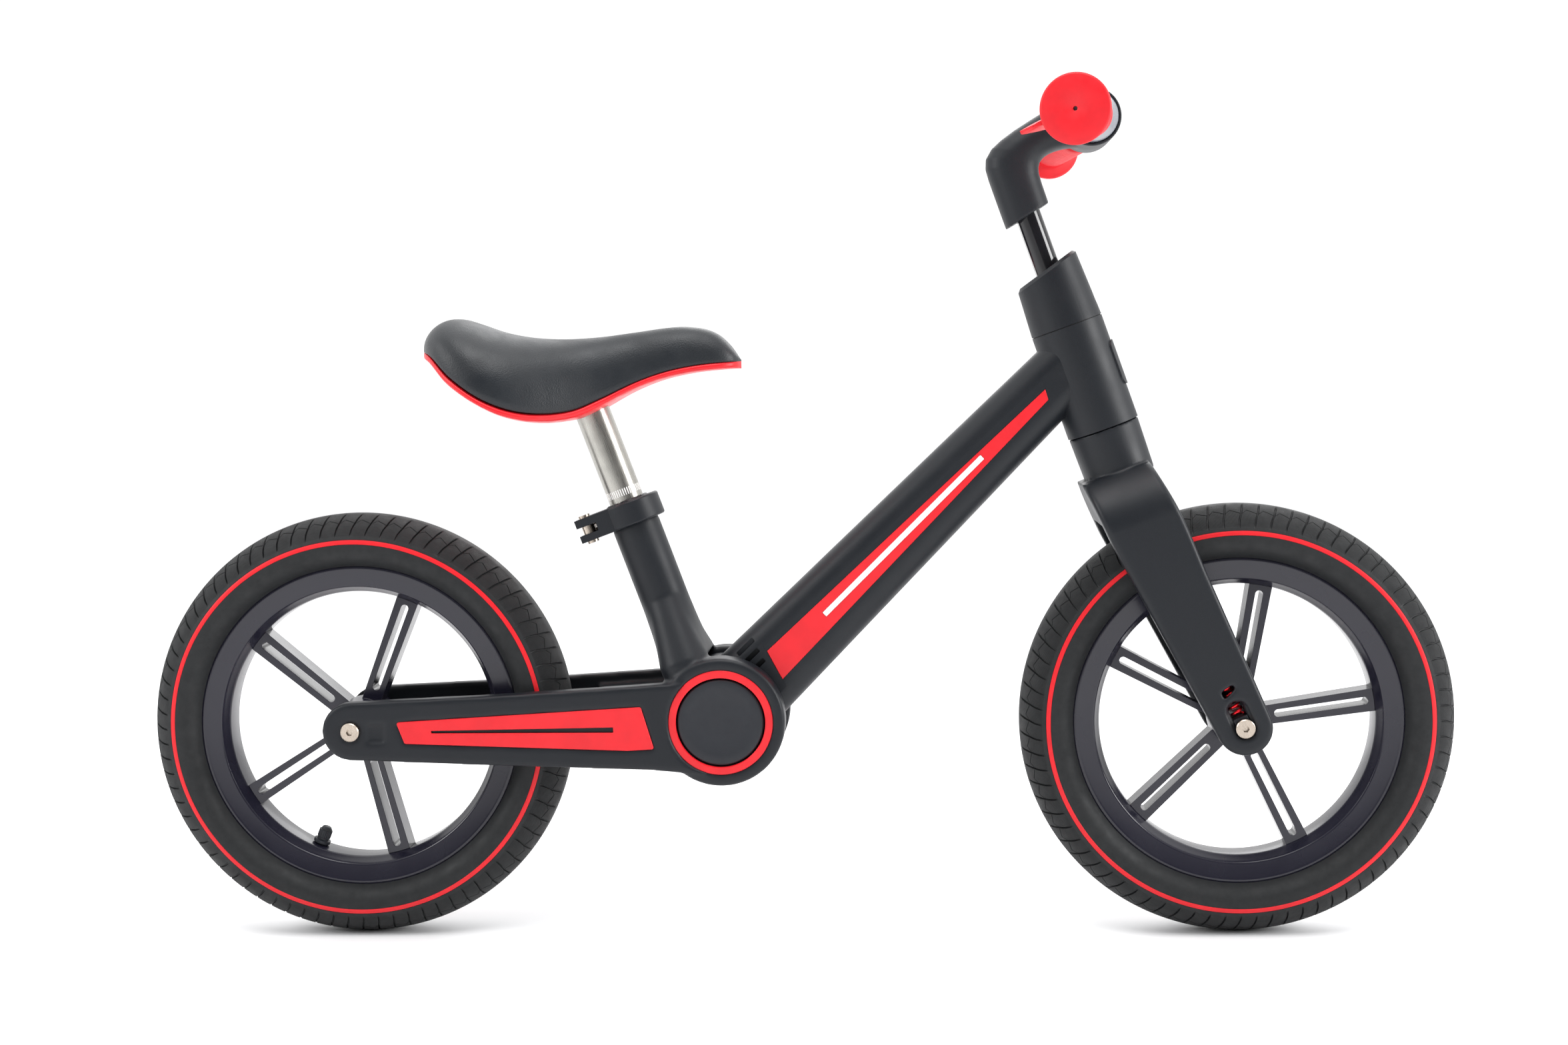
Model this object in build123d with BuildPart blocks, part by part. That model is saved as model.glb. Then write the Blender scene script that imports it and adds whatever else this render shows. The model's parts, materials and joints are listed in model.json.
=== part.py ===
"""Folding balance bike with front suspension, as separate named pieces.

Frame: origin on the ground midway between the wheels, +X forward, +Z up.
The bike is symmetric about Y = 0 except for the seat clamp lever, so "near" is -Y and "far" is +Y.
All lengths are in millimetres.
"""
from math import cos, radians, sin
import os

from build123d import *

os.makedirs("parts", exist_ok=True)

# ---------------------------------------------------------------- driving dimensions
WHEELBASE = 635
TYRE_R = 155
TYRE_HALF_WIDTH = 28.6
TYRE_DEPTH = 49

RIM_EDGE_R = 116.5
RIM_LIP_R = 102.4
RIM_INNER_R = 98
RIM_HALF_WIDTH = 18.4
SPOKES = 5
SPOKE_WIDTH = 16.5
SPOKE_SLOT = 5.5
WHEEL_HUB_R = 17
WHEEL_HUB_HALF = 31

AXLE_R = 5
BEARING_R = 13
BEARING_WIDTH = 8
BOLT_HEAD_R = 6.7
BOLT_SOCKET = 5

HUB_X, HUB_Z = -51, 160
CHEEK_R = 46
CHEEK_HALF = 43
CHEEK_INNER = 22.6
LUG_R = 42
LUG_HALF = 21.8
BARREL_R = 10
BUTTON_R = 31
BUTTON_POCKET_R = 31.4
TRIM_OUTER_R = 37.4
TRIM_INNER_R = 31.9
CHEEK_WEB = 5.5

STAY_INNER = 33
STAY_OUTER = 45
STAY_END_R = 20.9

SEAT_TILT = 20.1
SEAT_TOP = (-114.2, 0, 300)
SEAT_TUBE_R = 17.5
SEAT_POST_R = 12.7
CLAMP_R = 23
CLAMP_HEIGHT = 17

HEAD_TILT = 19.3
HEAD_BOTTOM = (224, 0, 365)
HEAD_R = 26
HEAD_LENGTH = 76.8
STEERER_R = 14
STEERER_BORE = 10.15
STEM_TUBE_R = 10

BEAM_ANGLE = 44.5
BEAM_WIDTH = 44
BEAM_WALL = 3

LEG_INNER = 33.5
LEG_OUTER = 50
SLOT_TILT = 24
SUSPENSION_TRAVEL = 10
SLOT_WIDTH = 10.6
SPRING_R = 3.9
SPRING_WIRE_R = 0.95

T_X, T_Z = 215, 583
T_R = 20.5
T_HALF = 26
BAR_END = (194.5, 132, 576.3)
BAR_R = 11
FLANGE_R = 23.4

RUNNING = 0.05
GAP = 0.4

AXLE_Z = TYRE_R
REAR_AXLE = (-WHEELBASE / 2, 0, AXLE_Z)
FRONT_AXLE = (WHEELBASE / 2, 0, AXLE_Z)
HUB = (HUB_X, 0, HUB_Z)
ACROSS = (0, 1, 0)
SIDES = {"near": -1, "far": 1}


def save(part, name):
    """Label a finished piece and write its STEP file."""
    part.label = name
    export_step(part, f"parts/{name}.step")


def circles_of(builder, radius):
    """Circular edges of a piece that have the given radius."""
    circles = builder.edges().filter_by(GeomType.CIRCLE)
    return circles.filter_by(lambda edge: abs(edge.radius - radius) < 0.01)


def side_plane(origin=(0, 0, 0), y=0.0):
    """Plane of the bike's side view at a given Y: local x is +X, local y is +Z, normal is -Y."""
    return Plane(origin=(origin[0], y, origin[2]), x_dir=(1, 0, 0), z_dir=(0, -1, 0))


def tilted_plane(origin, tilt):
    """Plane square to an axis that leans back by tilt: local x is forward, local y is +Y."""
    lean = radians(tilt)
    return Plane(origin=origin, x_dir=(cos(lean), 0, sin(lean)), z_dir=(-sin(lean), 0, cos(lean)))


def tilted_side(origin, tilt, y=0.0):
    """Side view turned with a leaning axis: local x is square to the axis, local y runs up it."""
    lean = radians(tilt)
    place = (origin[0], y, origin[2])
    return Plane(origin=place, x_dir=(cos(lean), 0, sin(lean)), z_dir=(0, -1, 0))


def wheel_section(axle):
    """Plane for a half section that is revolved about an axle: local x is radius, local y is +Y."""
    return Plane(origin=axle, x_dir=(1, 0, 0), z_dir=(0, 0, 1))


def facing(origin, side, distance):
    """Side-view plane at distance out from the middle, whose normal points outward on that side."""
    place = (origin[0], side * distance, origin[2])
    return Plane(origin=place, x_dir=(-side, 0, 0), z_dir=(0, side, 0))


seat_plane = tilted_plane(SEAT_TOP, SEAT_TILT)
head_plane = tilted_plane(HEAD_BOTTOM, HEAD_TILT)
head_side = tilted_side(HEAD_BOTTOM, HEAD_TILT)
beam_turn = radians(BEAM_ANGLE)
beam_side = Plane(origin=HUB, x_dir=(cos(beam_turn), 0, sin(beam_turn)), z_dir=(0, -1, 0))
beam_end = Plane(
    origin=HUB,
    x_dir=(-sin(beam_turn), 0, cos(beam_turn)),
    z_dir=(cos(beam_turn), 0, sin(beam_turn)),
)


# ---------------------------------------------------------------- wheels
TYRE_CENTRE_R = TYRE_R - TYRE_DEPTH / 2
BEAD_R = 113.5
BEAD_HALF = 15
TYRE_WALL = 5
TUBE_R = 16
TUBE_CENTRE_R = 131.5
TUBE_WALL = 1.5
STRIPE_R = 135.4
STRIPE_WIDTH = 3.4
VALVE_R = 4
VALVE_TIP_R = 80


def make_rim(axle, valve_angle):
    """Rim channel of the moulded wheel, with its valve hole."""
    with BuildPart() as rim:
        with BuildSketch(wheel_section(axle)):
            with BuildLine():
                Polyline(
                    (RIM_INNER_R, -10),
                    (RIM_LIP_R, -RIM_HALF_WIDTH),
                    (RIM_EDGE_R, -RIM_HALF_WIDTH),
                    (RIM_EDGE_R + 1, -RIM_HALF_WIDTH + 2),
                    (BEAD_R - 2, -BEAD_HALF + 0.5),
                    (BEAD_R - 4, -8),
                    (BEAD_R - 9, -6),
                    (BEAD_R - 9, 6),
                    (BEAD_R - 4, 8),
                    (BEAD_R - 2, BEAD_HALF - 0.5),
                    (RIM_EDGE_R + 1, RIM_HALF_WIDTH - 2),
                    (RIM_EDGE_R, RIM_HALF_WIDTH),
                    (RIM_LIP_R, RIM_HALF_WIDTH),
                    (RIM_INNER_R, 10),
                    close=True,
                )
            make_face()
        revolve(axis=Axis(axle, ACROSS))
        turn = radians(valve_angle)
        outward = Plane(origin=axle, z_dir=(cos(turn), 0, sin(turn)))
        with BuildSketch(outward.offset(RIM_INNER_R - 4)):
            Circle(VALVE_R + RUNNING)
        extrude(amount=20, mode=Mode.SUBTRACT)
    return rim.part


def make_spokes(axle, first_spoke):
    """Hub shell and five slotted spokes, whose ends meet the inside of the rim."""
    with BuildPart() as spokes:
        with BuildSketch(wheel_section(axle)):
            with BuildLine():
                Polyline(
                    (AXLE_R + 3, -WHEEL_HUB_HALF),
                    (WHEEL_HUB_R - 1, -WHEEL_HUB_HALF),
                    (WHEEL_HUB_R, -WHEEL_HUB_HALF + 1),
                    (WHEEL_HUB_R + 3, 0),
                    (WHEEL_HUB_R, WHEEL_HUB_HALF - 1),
                    (WHEEL_HUB_R - 1, WHEEL_HUB_HALF),
                    (AXLE_R + 3, WHEEL_HUB_HALF),
                    close=True,
                )
            make_face()
        revolve(axis=Axis(axle, ACROSS))
        spoke_depth = 2 * RIM_HALF_WIDTH - 18
        for number in range(SPOKES):
            turn = radians(first_spoke + number * 360 / SPOKES)
            along = Plane(origin=axle, x_dir=(cos(turn), 0, sin(turn)), z_dir=(0, -1, 0))
            with BuildSketch(along):
                with BuildLine():
                    Polyline(
                        (WHEEL_HUB_R - 4, -SPOKE_WIDTH / 2 + 1.5),
                        (RIM_INNER_R + 2, -SPOKE_WIDTH / 2),
                        (RIM_INNER_R + 2, SPOKE_WIDTH / 2),
                        (WHEEL_HUB_R - 4, SPOKE_WIDTH / 2 - 1.5),
                        close=True,
                    )
                make_face()
            extrude(amount=spoke_depth / 2, both=True)
            with BuildSketch(along):
                with Locations(((WHEEL_HUB_R + RIM_INNER_R) / 2 + 3, 0)):
                    SlotOverall(RIM_INNER_R - WHEEL_HUB_R - 14, SPOKE_SLOT)
            extrude(amount=spoke_depth, both=True, mode=Mode.SUBTRACT)
        with BuildSketch(side_plane(axle)):
            Circle(RIM_INNER_R - 0.01)
        extrude(amount=WHEEL_HUB_HALF, both=True, mode=Mode.INTERSECT)
        with BuildSketch(side_plane(axle)):
            Circle(AXLE_R + 3)
        extrude(amount=WHEEL_HUB_HALF + 1, both=True, mode=Mode.SUBTRACT)
        for side in SIDES.values():
            with BuildSketch(facing(axle, side, WHEEL_HUB_HALF - BEARING_WIDTH)):
                Circle(BEARING_R)
            extrude(amount=BEARING_WIDTH + 1, mode=Mode.SUBTRACT)
    return spokes.part


def make_tyre(axle):
    """Open carcass with two beads, a rounded crown and a groove for the coloured stripe."""
    with BuildPart() as tyre:
        with BuildSketch(wheel_section(axle)):
            with Locations((TYRE_CENTRE_R, 0)):
                Ellipse(TYRE_DEPTH / 2, TYRE_HALF_WIDTH)
            with Locations((BEAD_R + 3, 0)):
                Rectangle(8, 2 * RIM_HALF_WIDTH)
            with Locations((TYRE_CENTRE_R + 1, 0)):
                Ellipse(TYRE_DEPTH / 2 - TYRE_WALL - 1.5, TYRE_HALF_WIDTH - TYRE_WALL, mode=Mode.SUBTRACT)
            with Locations((BEAD_R - 14, 0)):
                Rectangle(50, 2 * BEAD_HALF - 6, mode=Mode.SUBTRACT)
            with Locations((RIM_EDGE_R - 10 + 1.5, 0)):
                Rectangle(20, 2 * TYRE_HALF_WIDTH, mode=Mode.SUBTRACT)
            with Locations((STRIPE_R, TYRE_HALF_WIDTH), (STRIPE_R, -TYRE_HALF_WIDTH)):
                Rectangle(STRIPE_WIDTH, 3.4, mode=Mode.SUBTRACT)
        revolve(axis=Axis(axle, ACROSS))
    return tyre.part


def make_stripe(axle):
    """The two coloured rings in the sidewalls, one on each side."""
    with BuildPart() as stripe:
        with BuildSketch(wheel_section(axle)):
            with Locations((TYRE_CENTRE_R, 0)):
                Ellipse(TYRE_DEPTH / 2 + 0.1, TYRE_HALF_WIDTH + 0.1)
            with Locations((STRIPE_R, 0)):
                Rectangle(STRIPE_WIDTH - 0.1, 3 * TYRE_HALF_WIDTH, mode=Mode.INTERSECT)
            with Locations((STRIPE_R, 0)):
                Rectangle(STRIPE_WIDTH + 1, 2 * TYRE_HALF_WIDTH - 3.3, mode=Mode.SUBTRACT)
        revolve(axis=Axis(axle, ACROSS))
    return stripe.part


def make_inner_tube(axle, valve_angle):
    """Air tube with its valve stem pointing at the axle."""
    with BuildPart() as tube:
        with BuildSketch(wheel_section(axle)):
            with Locations((TUBE_CENTRE_R, 0)):
                Circle(TUBE_R)
                Circle(TUBE_R - TUBE_WALL, mode=Mode.SUBTRACT)
        revolve(axis=Axis(axle, ACROSS))
        turn = radians(valve_angle)
        outward = Plane(origin=axle, z_dir=(cos(turn), 0, sin(turn)))
        with BuildSketch(outward.offset(VALVE_TIP_R + 6)):
            Circle(VALVE_R)
            Circle(VALVE_R - TUBE_WALL, mode=Mode.SUBTRACT)
        extrude(amount=TUBE_CENTRE_R - TUBE_R - VALVE_TIP_R - 6 + TUBE_WALL * 0.9)
    return tube.part


def make_valve_cap(axle, valve_angle):
    """Screw-on cap over the end of the valve stem."""
    with BuildPart() as cap:
        turn = radians(valve_angle)
        outward = Plane(origin=axle, z_dir=(cos(turn), 0, sin(turn)))
        with BuildSketch(outward.offset(VALVE_TIP_R)):
            Circle(VALVE_R + 0.8)
        extrude(amount=6)
        with BuildSketch(outward.offset(VALVE_TIP_R - 2.5)):
            Circle(VALVE_R - 0.8)
        extrude(amount=2.5)
    return cap.part


def make_bearings(axle):
    """Two sealed wheel bearings, one in each end of the hub shell."""
    with BuildPart() as bearings:
        for side in SIDES.values():
            with BuildSketch(facing(axle, side, WHEEL_HUB_HALF - BEARING_WIDTH)):
                Circle(BEARING_R - 0.01)
                Circle(AXLE_R + 0.04, mode=Mode.SUBTRACT)
            extrude(amount=BEARING_WIDTH)
    return bearings.part


wheels = {
    "rear": (REAR_AXLE, 68.5, 248.5),
    "front": (FRONT_AXLE, 8.0, 116.0),
}
for end, (axle, first_spoke, valve_angle) in wheels.items():
    save(make_rim(axle, valve_angle), f"{end}_rim")
    save(make_spokes(axle, first_spoke), f"{end}_spokes")
    save(make_tyre(axle), f"{end}_tyre")
    save(make_stripe(axle), f"{end}_tyre_stripe")
    save(make_inner_tube(axle, valve_angle), f"{end}_inner_tube")
    save(make_valve_cap(axle, valve_angle), f"{end}_valve_cap")
    save(make_bearings(axle), f"{end}_wheel_bearings")


# ---------------------------------------------------------------- rear frame
SEAT_BORE_DEPTH = 96
SLEEVE_R = 16.2
INLAY_DEPTH = 2
BRIDGE_BACK_X = -148
CHEEK_ROUND = 3
NECK_LOW = -104

stay_x = REAR_AXLE[0]
stay_z = AXLE_Z
inlay_outline = [
    (-284.2, 161.8),
    (-278.3, 146.3),
    (-118.0, 140.5),
    (-98.5, 141.5),
    (-107.6, 171.9),
]

with BuildPart() as rear_frame:
    # two stays that widen towards the hub, with a round end at the axle
    for side in SIDES.values():
        with BuildSketch(side_plane(y=side * STAY_INNER if side < 0 else STAY_OUTER)):
            with BuildLine():
                Polyline(
                    (stay_x, stay_z + STAY_END_R),
                    (-216, 180.4),
                    (-146, 184.6),
                    (-60, 190),
                    (-60, 122),
                    (-100, 126),
                    (-215, 130),
                    (stay_x, stay_z - STAY_END_R),
                    close=True,
                )
            make_face()
            with Locations((stay_x, stay_z)):
                Circle(STAY_END_R)
        extrude(amount=STAY_OUTER - STAY_INNER)
    outer_faces = rear_frame.faces().filter_by(Axis.Y).group_by(Axis.Y)
    fillet(outer_faces[0].edges() + outer_faces[-1].edges(), radius=2.5)
    # bridge between the stays, behind the lug
    with BuildSketch(side_plane()):
        with BuildLine():
            Polyline(
                (BRIDGE_BACK_X, 176),
                (-60, 182),
                (-60, 130),
                (BRIDGE_BACK_X, 136),
                close=True,
            )
        make_face()
    extrude(amount=STAY_INNER + 1, both=True)
    # seat tube
    with BuildSketch(seat_plane.offset(-140)):
        Circle(SEAT_TUBE_R)
    extrude(amount=140)
    # hub cheeks
    with BuildSketch(side_plane(HUB)):
        Circle(CHEEK_R)
    extrude(amount=CHEEK_HALF, both=True)
    rims = rear_frame.edges().filter_by(GeomType.CIRCLE).filter_by(lambda e: abs(e.radius - CHEEK_R) < 0.01)
    fillet(rims, radius=CHEEK_ROUND)
    # neck that spreads from the round tube to both cheeks
    with BuildSketch(seat_plane.offset(-56)):
        Circle(SEAT_TUBE_R - 0.1)
    with BuildSketch(seat_plane.offset(NECK_LOW)):
        RectangleRounded(36, 2 * CHEEK_HALF - 5, 16)
    loft()
    with BuildSketch(seat_plane.offset(NECK_LOW)):
        RectangleRounded(36, 2 * CHEEK_HALF - 5, 16)
    extrude(amount=-24)
    # room for the lug of the front beam, open to the front and below
    with BuildSketch(side_plane(HUB)):
        Circle(CHEEK_R + 1)
        with BuildLine():
            Polyline(
                (0, CHEEK_R + 1),
                (60, CHEEK_R + 30),
                (80, 0),
                (60, -80),
                (-20, -80),
                (-20, -CHEEK_R),
                close=True,
            )
        make_face()
    extrude(amount=CHEEK_INNER, both=True, mode=Mode.SUBTRACT)
    # button pockets, trim ring grooves and barrel bore
    for side in SIDES.values():
        with BuildSketch(facing(HUB, side, CHEEK_INNER + CHEEK_WEB)):
            Circle(BUTTON_POCKET_R)
        extrude(amount=CHEEK_HALF, mode=Mode.SUBTRACT)
        with BuildSketch(facing(HUB, side, CHEEK_HALF - 2)):
            Circle(TRIM_OUTER_R + 0.1)
        extrude(amount=CHEEK_HALF, mode=Mode.SUBTRACT)
    with BuildSketch(side_plane(HUB)):
        Circle(BARREL_R)
    extrude(amount=CHEEK_HALF, both=True, mode=Mode.SUBTRACT)
    # seat tube bore, and the thinner slotted sleeve under the clamp
    with BuildSketch(seat_plane.offset(-SEAT_BORE_DEPTH)):
        Circle(SEAT_POST_R + RUNNING)
    extrude(amount=SEAT_BORE_DEPTH + 1, mode=Mode.SUBTRACT)
    with BuildSketch(seat_plane.offset(-0.01)):
        Circle(SLEEVE_R)
        Circle(SEAT_POST_R + RUNNING, mode=Mode.SUBTRACT)
        with Locations((-SLEEVE_R, 0)):
            Rectangle(SLEEVE_R, 3, mode=Mode.SUBTRACT)
    extrude(amount=CLAMP_HEIGHT + 1.5)
    # axle holes and bolt seats
    with BuildSketch(side_plane(REAR_AXLE)):
        Circle(AXLE_R)
    extrude(amount=STAY_OUTER + 1, both=True, mode=Mode.SUBTRACT)
    for side in SIDES.values():
        with BuildSketch(facing(REAR_AXLE, side, STAY_OUTER - 0.8)):
            Circle(BOLT_HEAD_R + 1.2)
        extrude(amount=5, mode=Mode.SUBTRACT)
        # inlay pocket and the small recess behind it
        with BuildSketch(side_plane(y=side * (STAY_OUTER - INLAY_DEPTH))):
            with BuildLine():
                Polyline(*inlay_outline, close=True)
            make_face()
            offset(amount=0.3)
            with Locations((-298.7, 153.7)):
                Rectangle(14, 14.5)
        extrude(amount=-side * 5, mode=Mode.SUBTRACT)
save(rear_frame.part, "rear_frame")

for label, side in SIDES.items():
    with BuildPart() as stay_inlay:
        with BuildSketch(side_plane(y=side * (STAY_OUTER - INLAY_DEPTH))) as outline:
            with BuildLine():
                Polyline(*inlay_outline, close=True)
            make_face()
            fillet(outline.vertices(), radius=1.5)
            with BuildLine():
                Polyline((-258.8, 153.8), (-127.6, 153.6), (-127.6, 157.4), (-258.8, 155.6), close=True)
            make_face(mode=Mode.SUBTRACT)
        extrude(amount=-side * (INLAY_DEPTH + 0.3))
    save(stay_inlay.part, f"stay_inlay_{label}")

with BuildPart() as rear_axle:
    with BuildSketch(side_plane(REAR_AXLE)):
        Circle(AXLE_R - 0.02)
        Circle(AXLE_R - 2, mode=Mode.SUBTRACT)
    extrude(amount=STAY_OUTER - 1, both=True)
save(rear_axle.part, "rear_axle")


def make_axle_bolts(axle, seat, head):
    """Pair of low-head socket bolts that screw into the ends of a hollow axle."""
    with BuildPart() as bolts:
        for side in SIDES.values():
            with BuildSketch(facing(axle, side, seat)):
                Circle(BOLT_HEAD_R)
            extrude(amount=head)
            top_edges = bolts.faces().sort_by(Axis.Y)[-1 if side > 0 else 0].edges()
            chamfer(top_edges, length=0.5)
            with BuildSketch(facing(axle, side, seat)):
                Circle(AXLE_R - 2.05)
            extrude(amount=-14)
            with BuildSketch(facing(axle, side, seat + head)):
                RegularPolygon(BOLT_SOCKET / 2, 6)
            extrude(amount=-head * 0.7, mode=Mode.SUBTRACT)
    return bolts.part


save(make_axle_bolts(REAR_AXLE, STAY_OUTER - 0.8, 3.2), "rear_axle_bolts")

# ---------------------------------------------------------------- fold hub internals
BARREL_HALF = CHEEK_INNER + CHEEK_WEB + 1

with BuildPart() as hub_barrel:
    with BuildSketch(side_plane(HUB)):
        Circle(BARREL_R - 0.02)
        Circle(BARREL_R - 3, mode=Mode.SUBTRACT)
    extrude(amount=BARREL_HALF, both=True)
save(hub_barrel.part, "hub_barrel")

with BuildPart() as barrel_screws:
    for side in SIDES.values():
        with BuildSketch(facing(HUB, side, BARREL_HALF)):
            Circle(BARREL_R + 1.5)
        extrude(amount=2)
        with BuildSketch(facing(HUB, side, BARREL_HALF)):
            Circle(BARREL_R - 3.05)
        extrude(amount=-8)
        with BuildSketch(facing(HUB, side, BARREL_HALF + 2)):
            RegularPolygon(3.5, 6)
        extrude(amount=-3, mode=Mode.SUBTRACT)
save(barrel_screws.part, "hub_barrel_screws")

with BuildPart() as thrust_washers:
    for side in SIDES.values():
        with BuildSketch(facing(HUB, side, CHEEK_INNER - 0.5)):
            Circle(LUG_R - 6)
            Circle(BARREL_R + 1, mode=Mode.SUBTRACT)
        extrude(amount=0.5)
save(thrust_washers.part, "thrust_washers")


def coil(radius, wire, height, turns, place):
    """Compression spring: a round wire swept along a helix."""
    path = Helix(pitch=height / turns, height=height, radius=radius, mode=Mode.PRIVATE)
    section = Plane(origin=path @ 0, z_dir=path % 0)
    return place * sweep(section * Circle(wire, mode=Mode.PRIVATE), path, is_frenet=True, mode=Mode.PRIVATE)


BUTTON_FACE = CHEEK_HALF - 0.6
BUTTON_SKIRT = 33.5
BUTTON_ROOF = BUTTON_FACE - 4
BUTTON_SPRING_R = 15
BUTTON_SPRING_WIRE = 0.8
SPRING_SEAT = CHEEK_INNER + CHEEK_WEB

for label, side in SIDES.items():
    with BuildPart() as trim_ring:
        with BuildSketch(facing(HUB, side, CHEEK_HALF - 2)):
            Circle(TRIM_OUTER_R)
            Circle(TRIM_INNER_R, mode=Mode.SUBTRACT)
        extrude(amount=2.2)
        chamfer(trim_ring.faces().sort_by(Axis.Y)[-1 if side > 0 else 0].edges(), length=0.4)
    save(trim_ring.part, f"hub_trim_ring_{label}")

    with BuildPart() as hub_button:
        with BuildSketch(facing(HUB, side, BUTTON_SKIRT + 1)):
            Circle(BUTTON_R)
        extrude(amount=BUTTON_FACE - BUTTON_SKIRT - 1)
        face_edges = hub_button.faces().sort_by(Axis.Y)[-1 if side > 0 else 0].edges()
        fillet(face_edges, radius=1.2)
        with BuildSketch(facing(HUB, side, BUTTON_FACE - 0.7)):
            Circle(24)
        extrude(amount=2, mode=Mode.SUBTRACT)
        with BuildSketch(facing(HUB, side, BUTTON_SKIRT)):
            Circle(BUTTON_R - 4)
        extrude(amount=BUTTON_ROOF - BUTTON_SKIRT, mode=Mode.SUBTRACT)
    save(hub_button.part, f"hub_button_{label}")

    with BuildPart() as lock_ring:
        with BuildSketch(facing(HUB, side, BUTTON_SKIRT)):
            Circle(BUTTON_R - 2.5)
            with PolarLocations(BUTTON_R - 2, 18):
                Rectangle(3, 3.5)
            Circle(20, mode=Mode.SUBTRACT)
        extrude(amount=1)
    save(lock_ring.part, f"lock_ring_{label}")

    spring_length = BUTTON_ROOF - SPRING_SEAT - 2 * BUTTON_SPRING_WIRE - 0.1
    spring_base = facing(HUB, side, SPRING_SEAT + BUTTON_SPRING_WIRE)
    button_spring = coil(BUTTON_SPRING_R, BUTTON_SPRING_WIRE, spring_length, 3.5, spring_base.location)
    save(button_spring, f"button_spring_{label}")


# ---------------------------------------------------------------- seat clamp
EAR_BACK = -38.7
EAR_NEAR = (-19, -3)
EAR_FAR = (3, 15)
FORK_LOW, FORK_HIGH = 5.2, 11.2
CLAMP_PIN_U = -31.7
CLAMP_PIN_Y = -11
LEVER_PIN_Y = 21
PIN_R = 2.5

with BuildPart() as seat_clamp:
    with BuildSketch(seat_plane.offset(0.05)):
        Circle(CLAMP_R)
        for low, high in (EAR_NEAR, EAR_FAR):
            with BuildLine():
                Polyline((EAR_BACK, low), (-8, low), (-8, high), (EAR_BACK, high), close=True)
            make_face()
        Circle(SLEEVE_R + 0.02, mode=Mode.SUBTRACT)
        with Locations((-CLAMP_R, 0)):
            Rectangle(2 * CLAMP_R - 20, 6, mode=Mode.SUBTRACT)
    extrude(amount=CLAMP_HEIGHT)
    with BuildSketch(seat_plane.offset(FORK_LOW)):
        with Locations((EAR_BACK + 7, 0)):
            Rectangle(15, 60)
    extrude(amount=FORK_HIGH - FORK_LOW, mode=Mode.SUBTRACT)
    with BuildSketch(seat_plane):
        with Locations((CLAMP_PIN_U, CLAMP_PIN_Y)):
            Circle(PIN_R)
    extrude(amount=CLAMP_HEIGHT + 1, mode=Mode.SUBTRACT)
    outer_rim = circles_of(seat_clamp, CLAMP_R)
    fillet(outer_rim, radius=1.5)
save(seat_clamp.part, "seat_clamp")

with BuildPart() as clamp_pin:
    with BuildSketch(seat_plane.offset(-0.9)):
        with Locations((CLAMP_PIN_U, CLAMP_PIN_Y)):
            Circle(PIN_R - 0.02)
    extrude(amount=CLAMP_HEIGHT + 1.8)
    for level in (-1.9, CLAMP_HEIGHT + 0.05):
        with BuildSketch(seat_plane.offset(level)):
            with Locations((CLAMP_PIN_U, CLAMP_PIN_Y)):
                Circle(4.2)
        extrude(amount=1.95)
save(clamp_pin.part, "clamp_pin")

bolt_level = (FORK_LOW + FORK_HIGH) / 2
bolt_plane = Plane(
    origin=seat_plane.from_local_coords(Vector(CLAMP_PIN_U, CLAMP_PIN_Y, bolt_level)),
    x_dir=seat_plane.z_dir,
    z_dir=ACROSS,
)
with BuildPart() as swing_bolt:
    with BuildSketch(seat_plane.offset(FORK_LOW + 0.2)):
        with Locations((CLAMP_PIN_U, CLAMP_PIN_Y)):
            Circle(4.6)
    extrude(amount=FORK_HIGH - FORK_LOW - 0.4)
    with BuildSketch(bolt_plane):
        Circle(2.1)
    extrude(amount=LEVER_PIN_Y - CLAMP_PIN_Y)
    with BuildSketch(seat_plane.offset(FORK_LOW)):
        with Locations((CLAMP_PIN_U, CLAMP_PIN_Y)):
            Circle(PIN_R)
    extrude(amount=FORK_HIGH - FORK_LOW, mode=Mode.SUBTRACT)
    with BuildSketch(seat_plane.offset(2.5)):
        with Locations((CLAMP_PIN_U, LEVER_PIN_Y)):
            Circle(PIN_R)
    extrude(amount=CLAMP_HEIGHT - 5)
save(swing_bolt.part, "swing_bolt")

with BuildPart() as clamp_lever:
    with BuildSketch(seat_plane.offset(1.5)):
        with Locations((CLAMP_PIN_U, LEVER_PIN_Y)):
            Circle(5.4)
        with BuildLine():
            arm = Spline(
                (CLAMP_PIN_U, LEVER_PIN_Y + 2.5),
                (-12, 28.5),
                (8, 29.5),
                (26, 24),
                tangents=((1, 0.35), (1, -0.6)),
            )
            Line(arm @ 1, (28, 21))
            back = Spline(
                (28, 21),
                (8, 26),
                (-12, 25),
                (CLAMP_PIN_U + 2, LEVER_PIN_Y - 3),
                tangents=((-1, 0.5), (-1, -0.6)),
            )
            Line(back @ 1, arm @ 0)
        make_face()
    extrude(amount=CLAMP_HEIGHT - 3)
    with BuildSketch(seat_plane):
        with Locations((CLAMP_PIN_U, LEVER_PIN_Y)):
            Circle(PIN_R + RUNNING)
    extrude(amount=CLAMP_HEIGHT + 1, mode=Mode.SUBTRACT)
    with BuildSketch(seat_plane.offset(FORK_LOW - 1)):
        with Locations((CLAMP_PIN_U - 1, LEVER_PIN_Y - 3)):
            Rectangle(13, 17)
    extrude(amount=FORK_HIGH - FORK_LOW + 2, mode=Mode.SUBTRACT)
save(clamp_lever.part, "clamp_lever")

# ---------------------------------------------------------------- seat
POST_LOW = -74
POST_HIGH = 95
POST_WALL = 2

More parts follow.
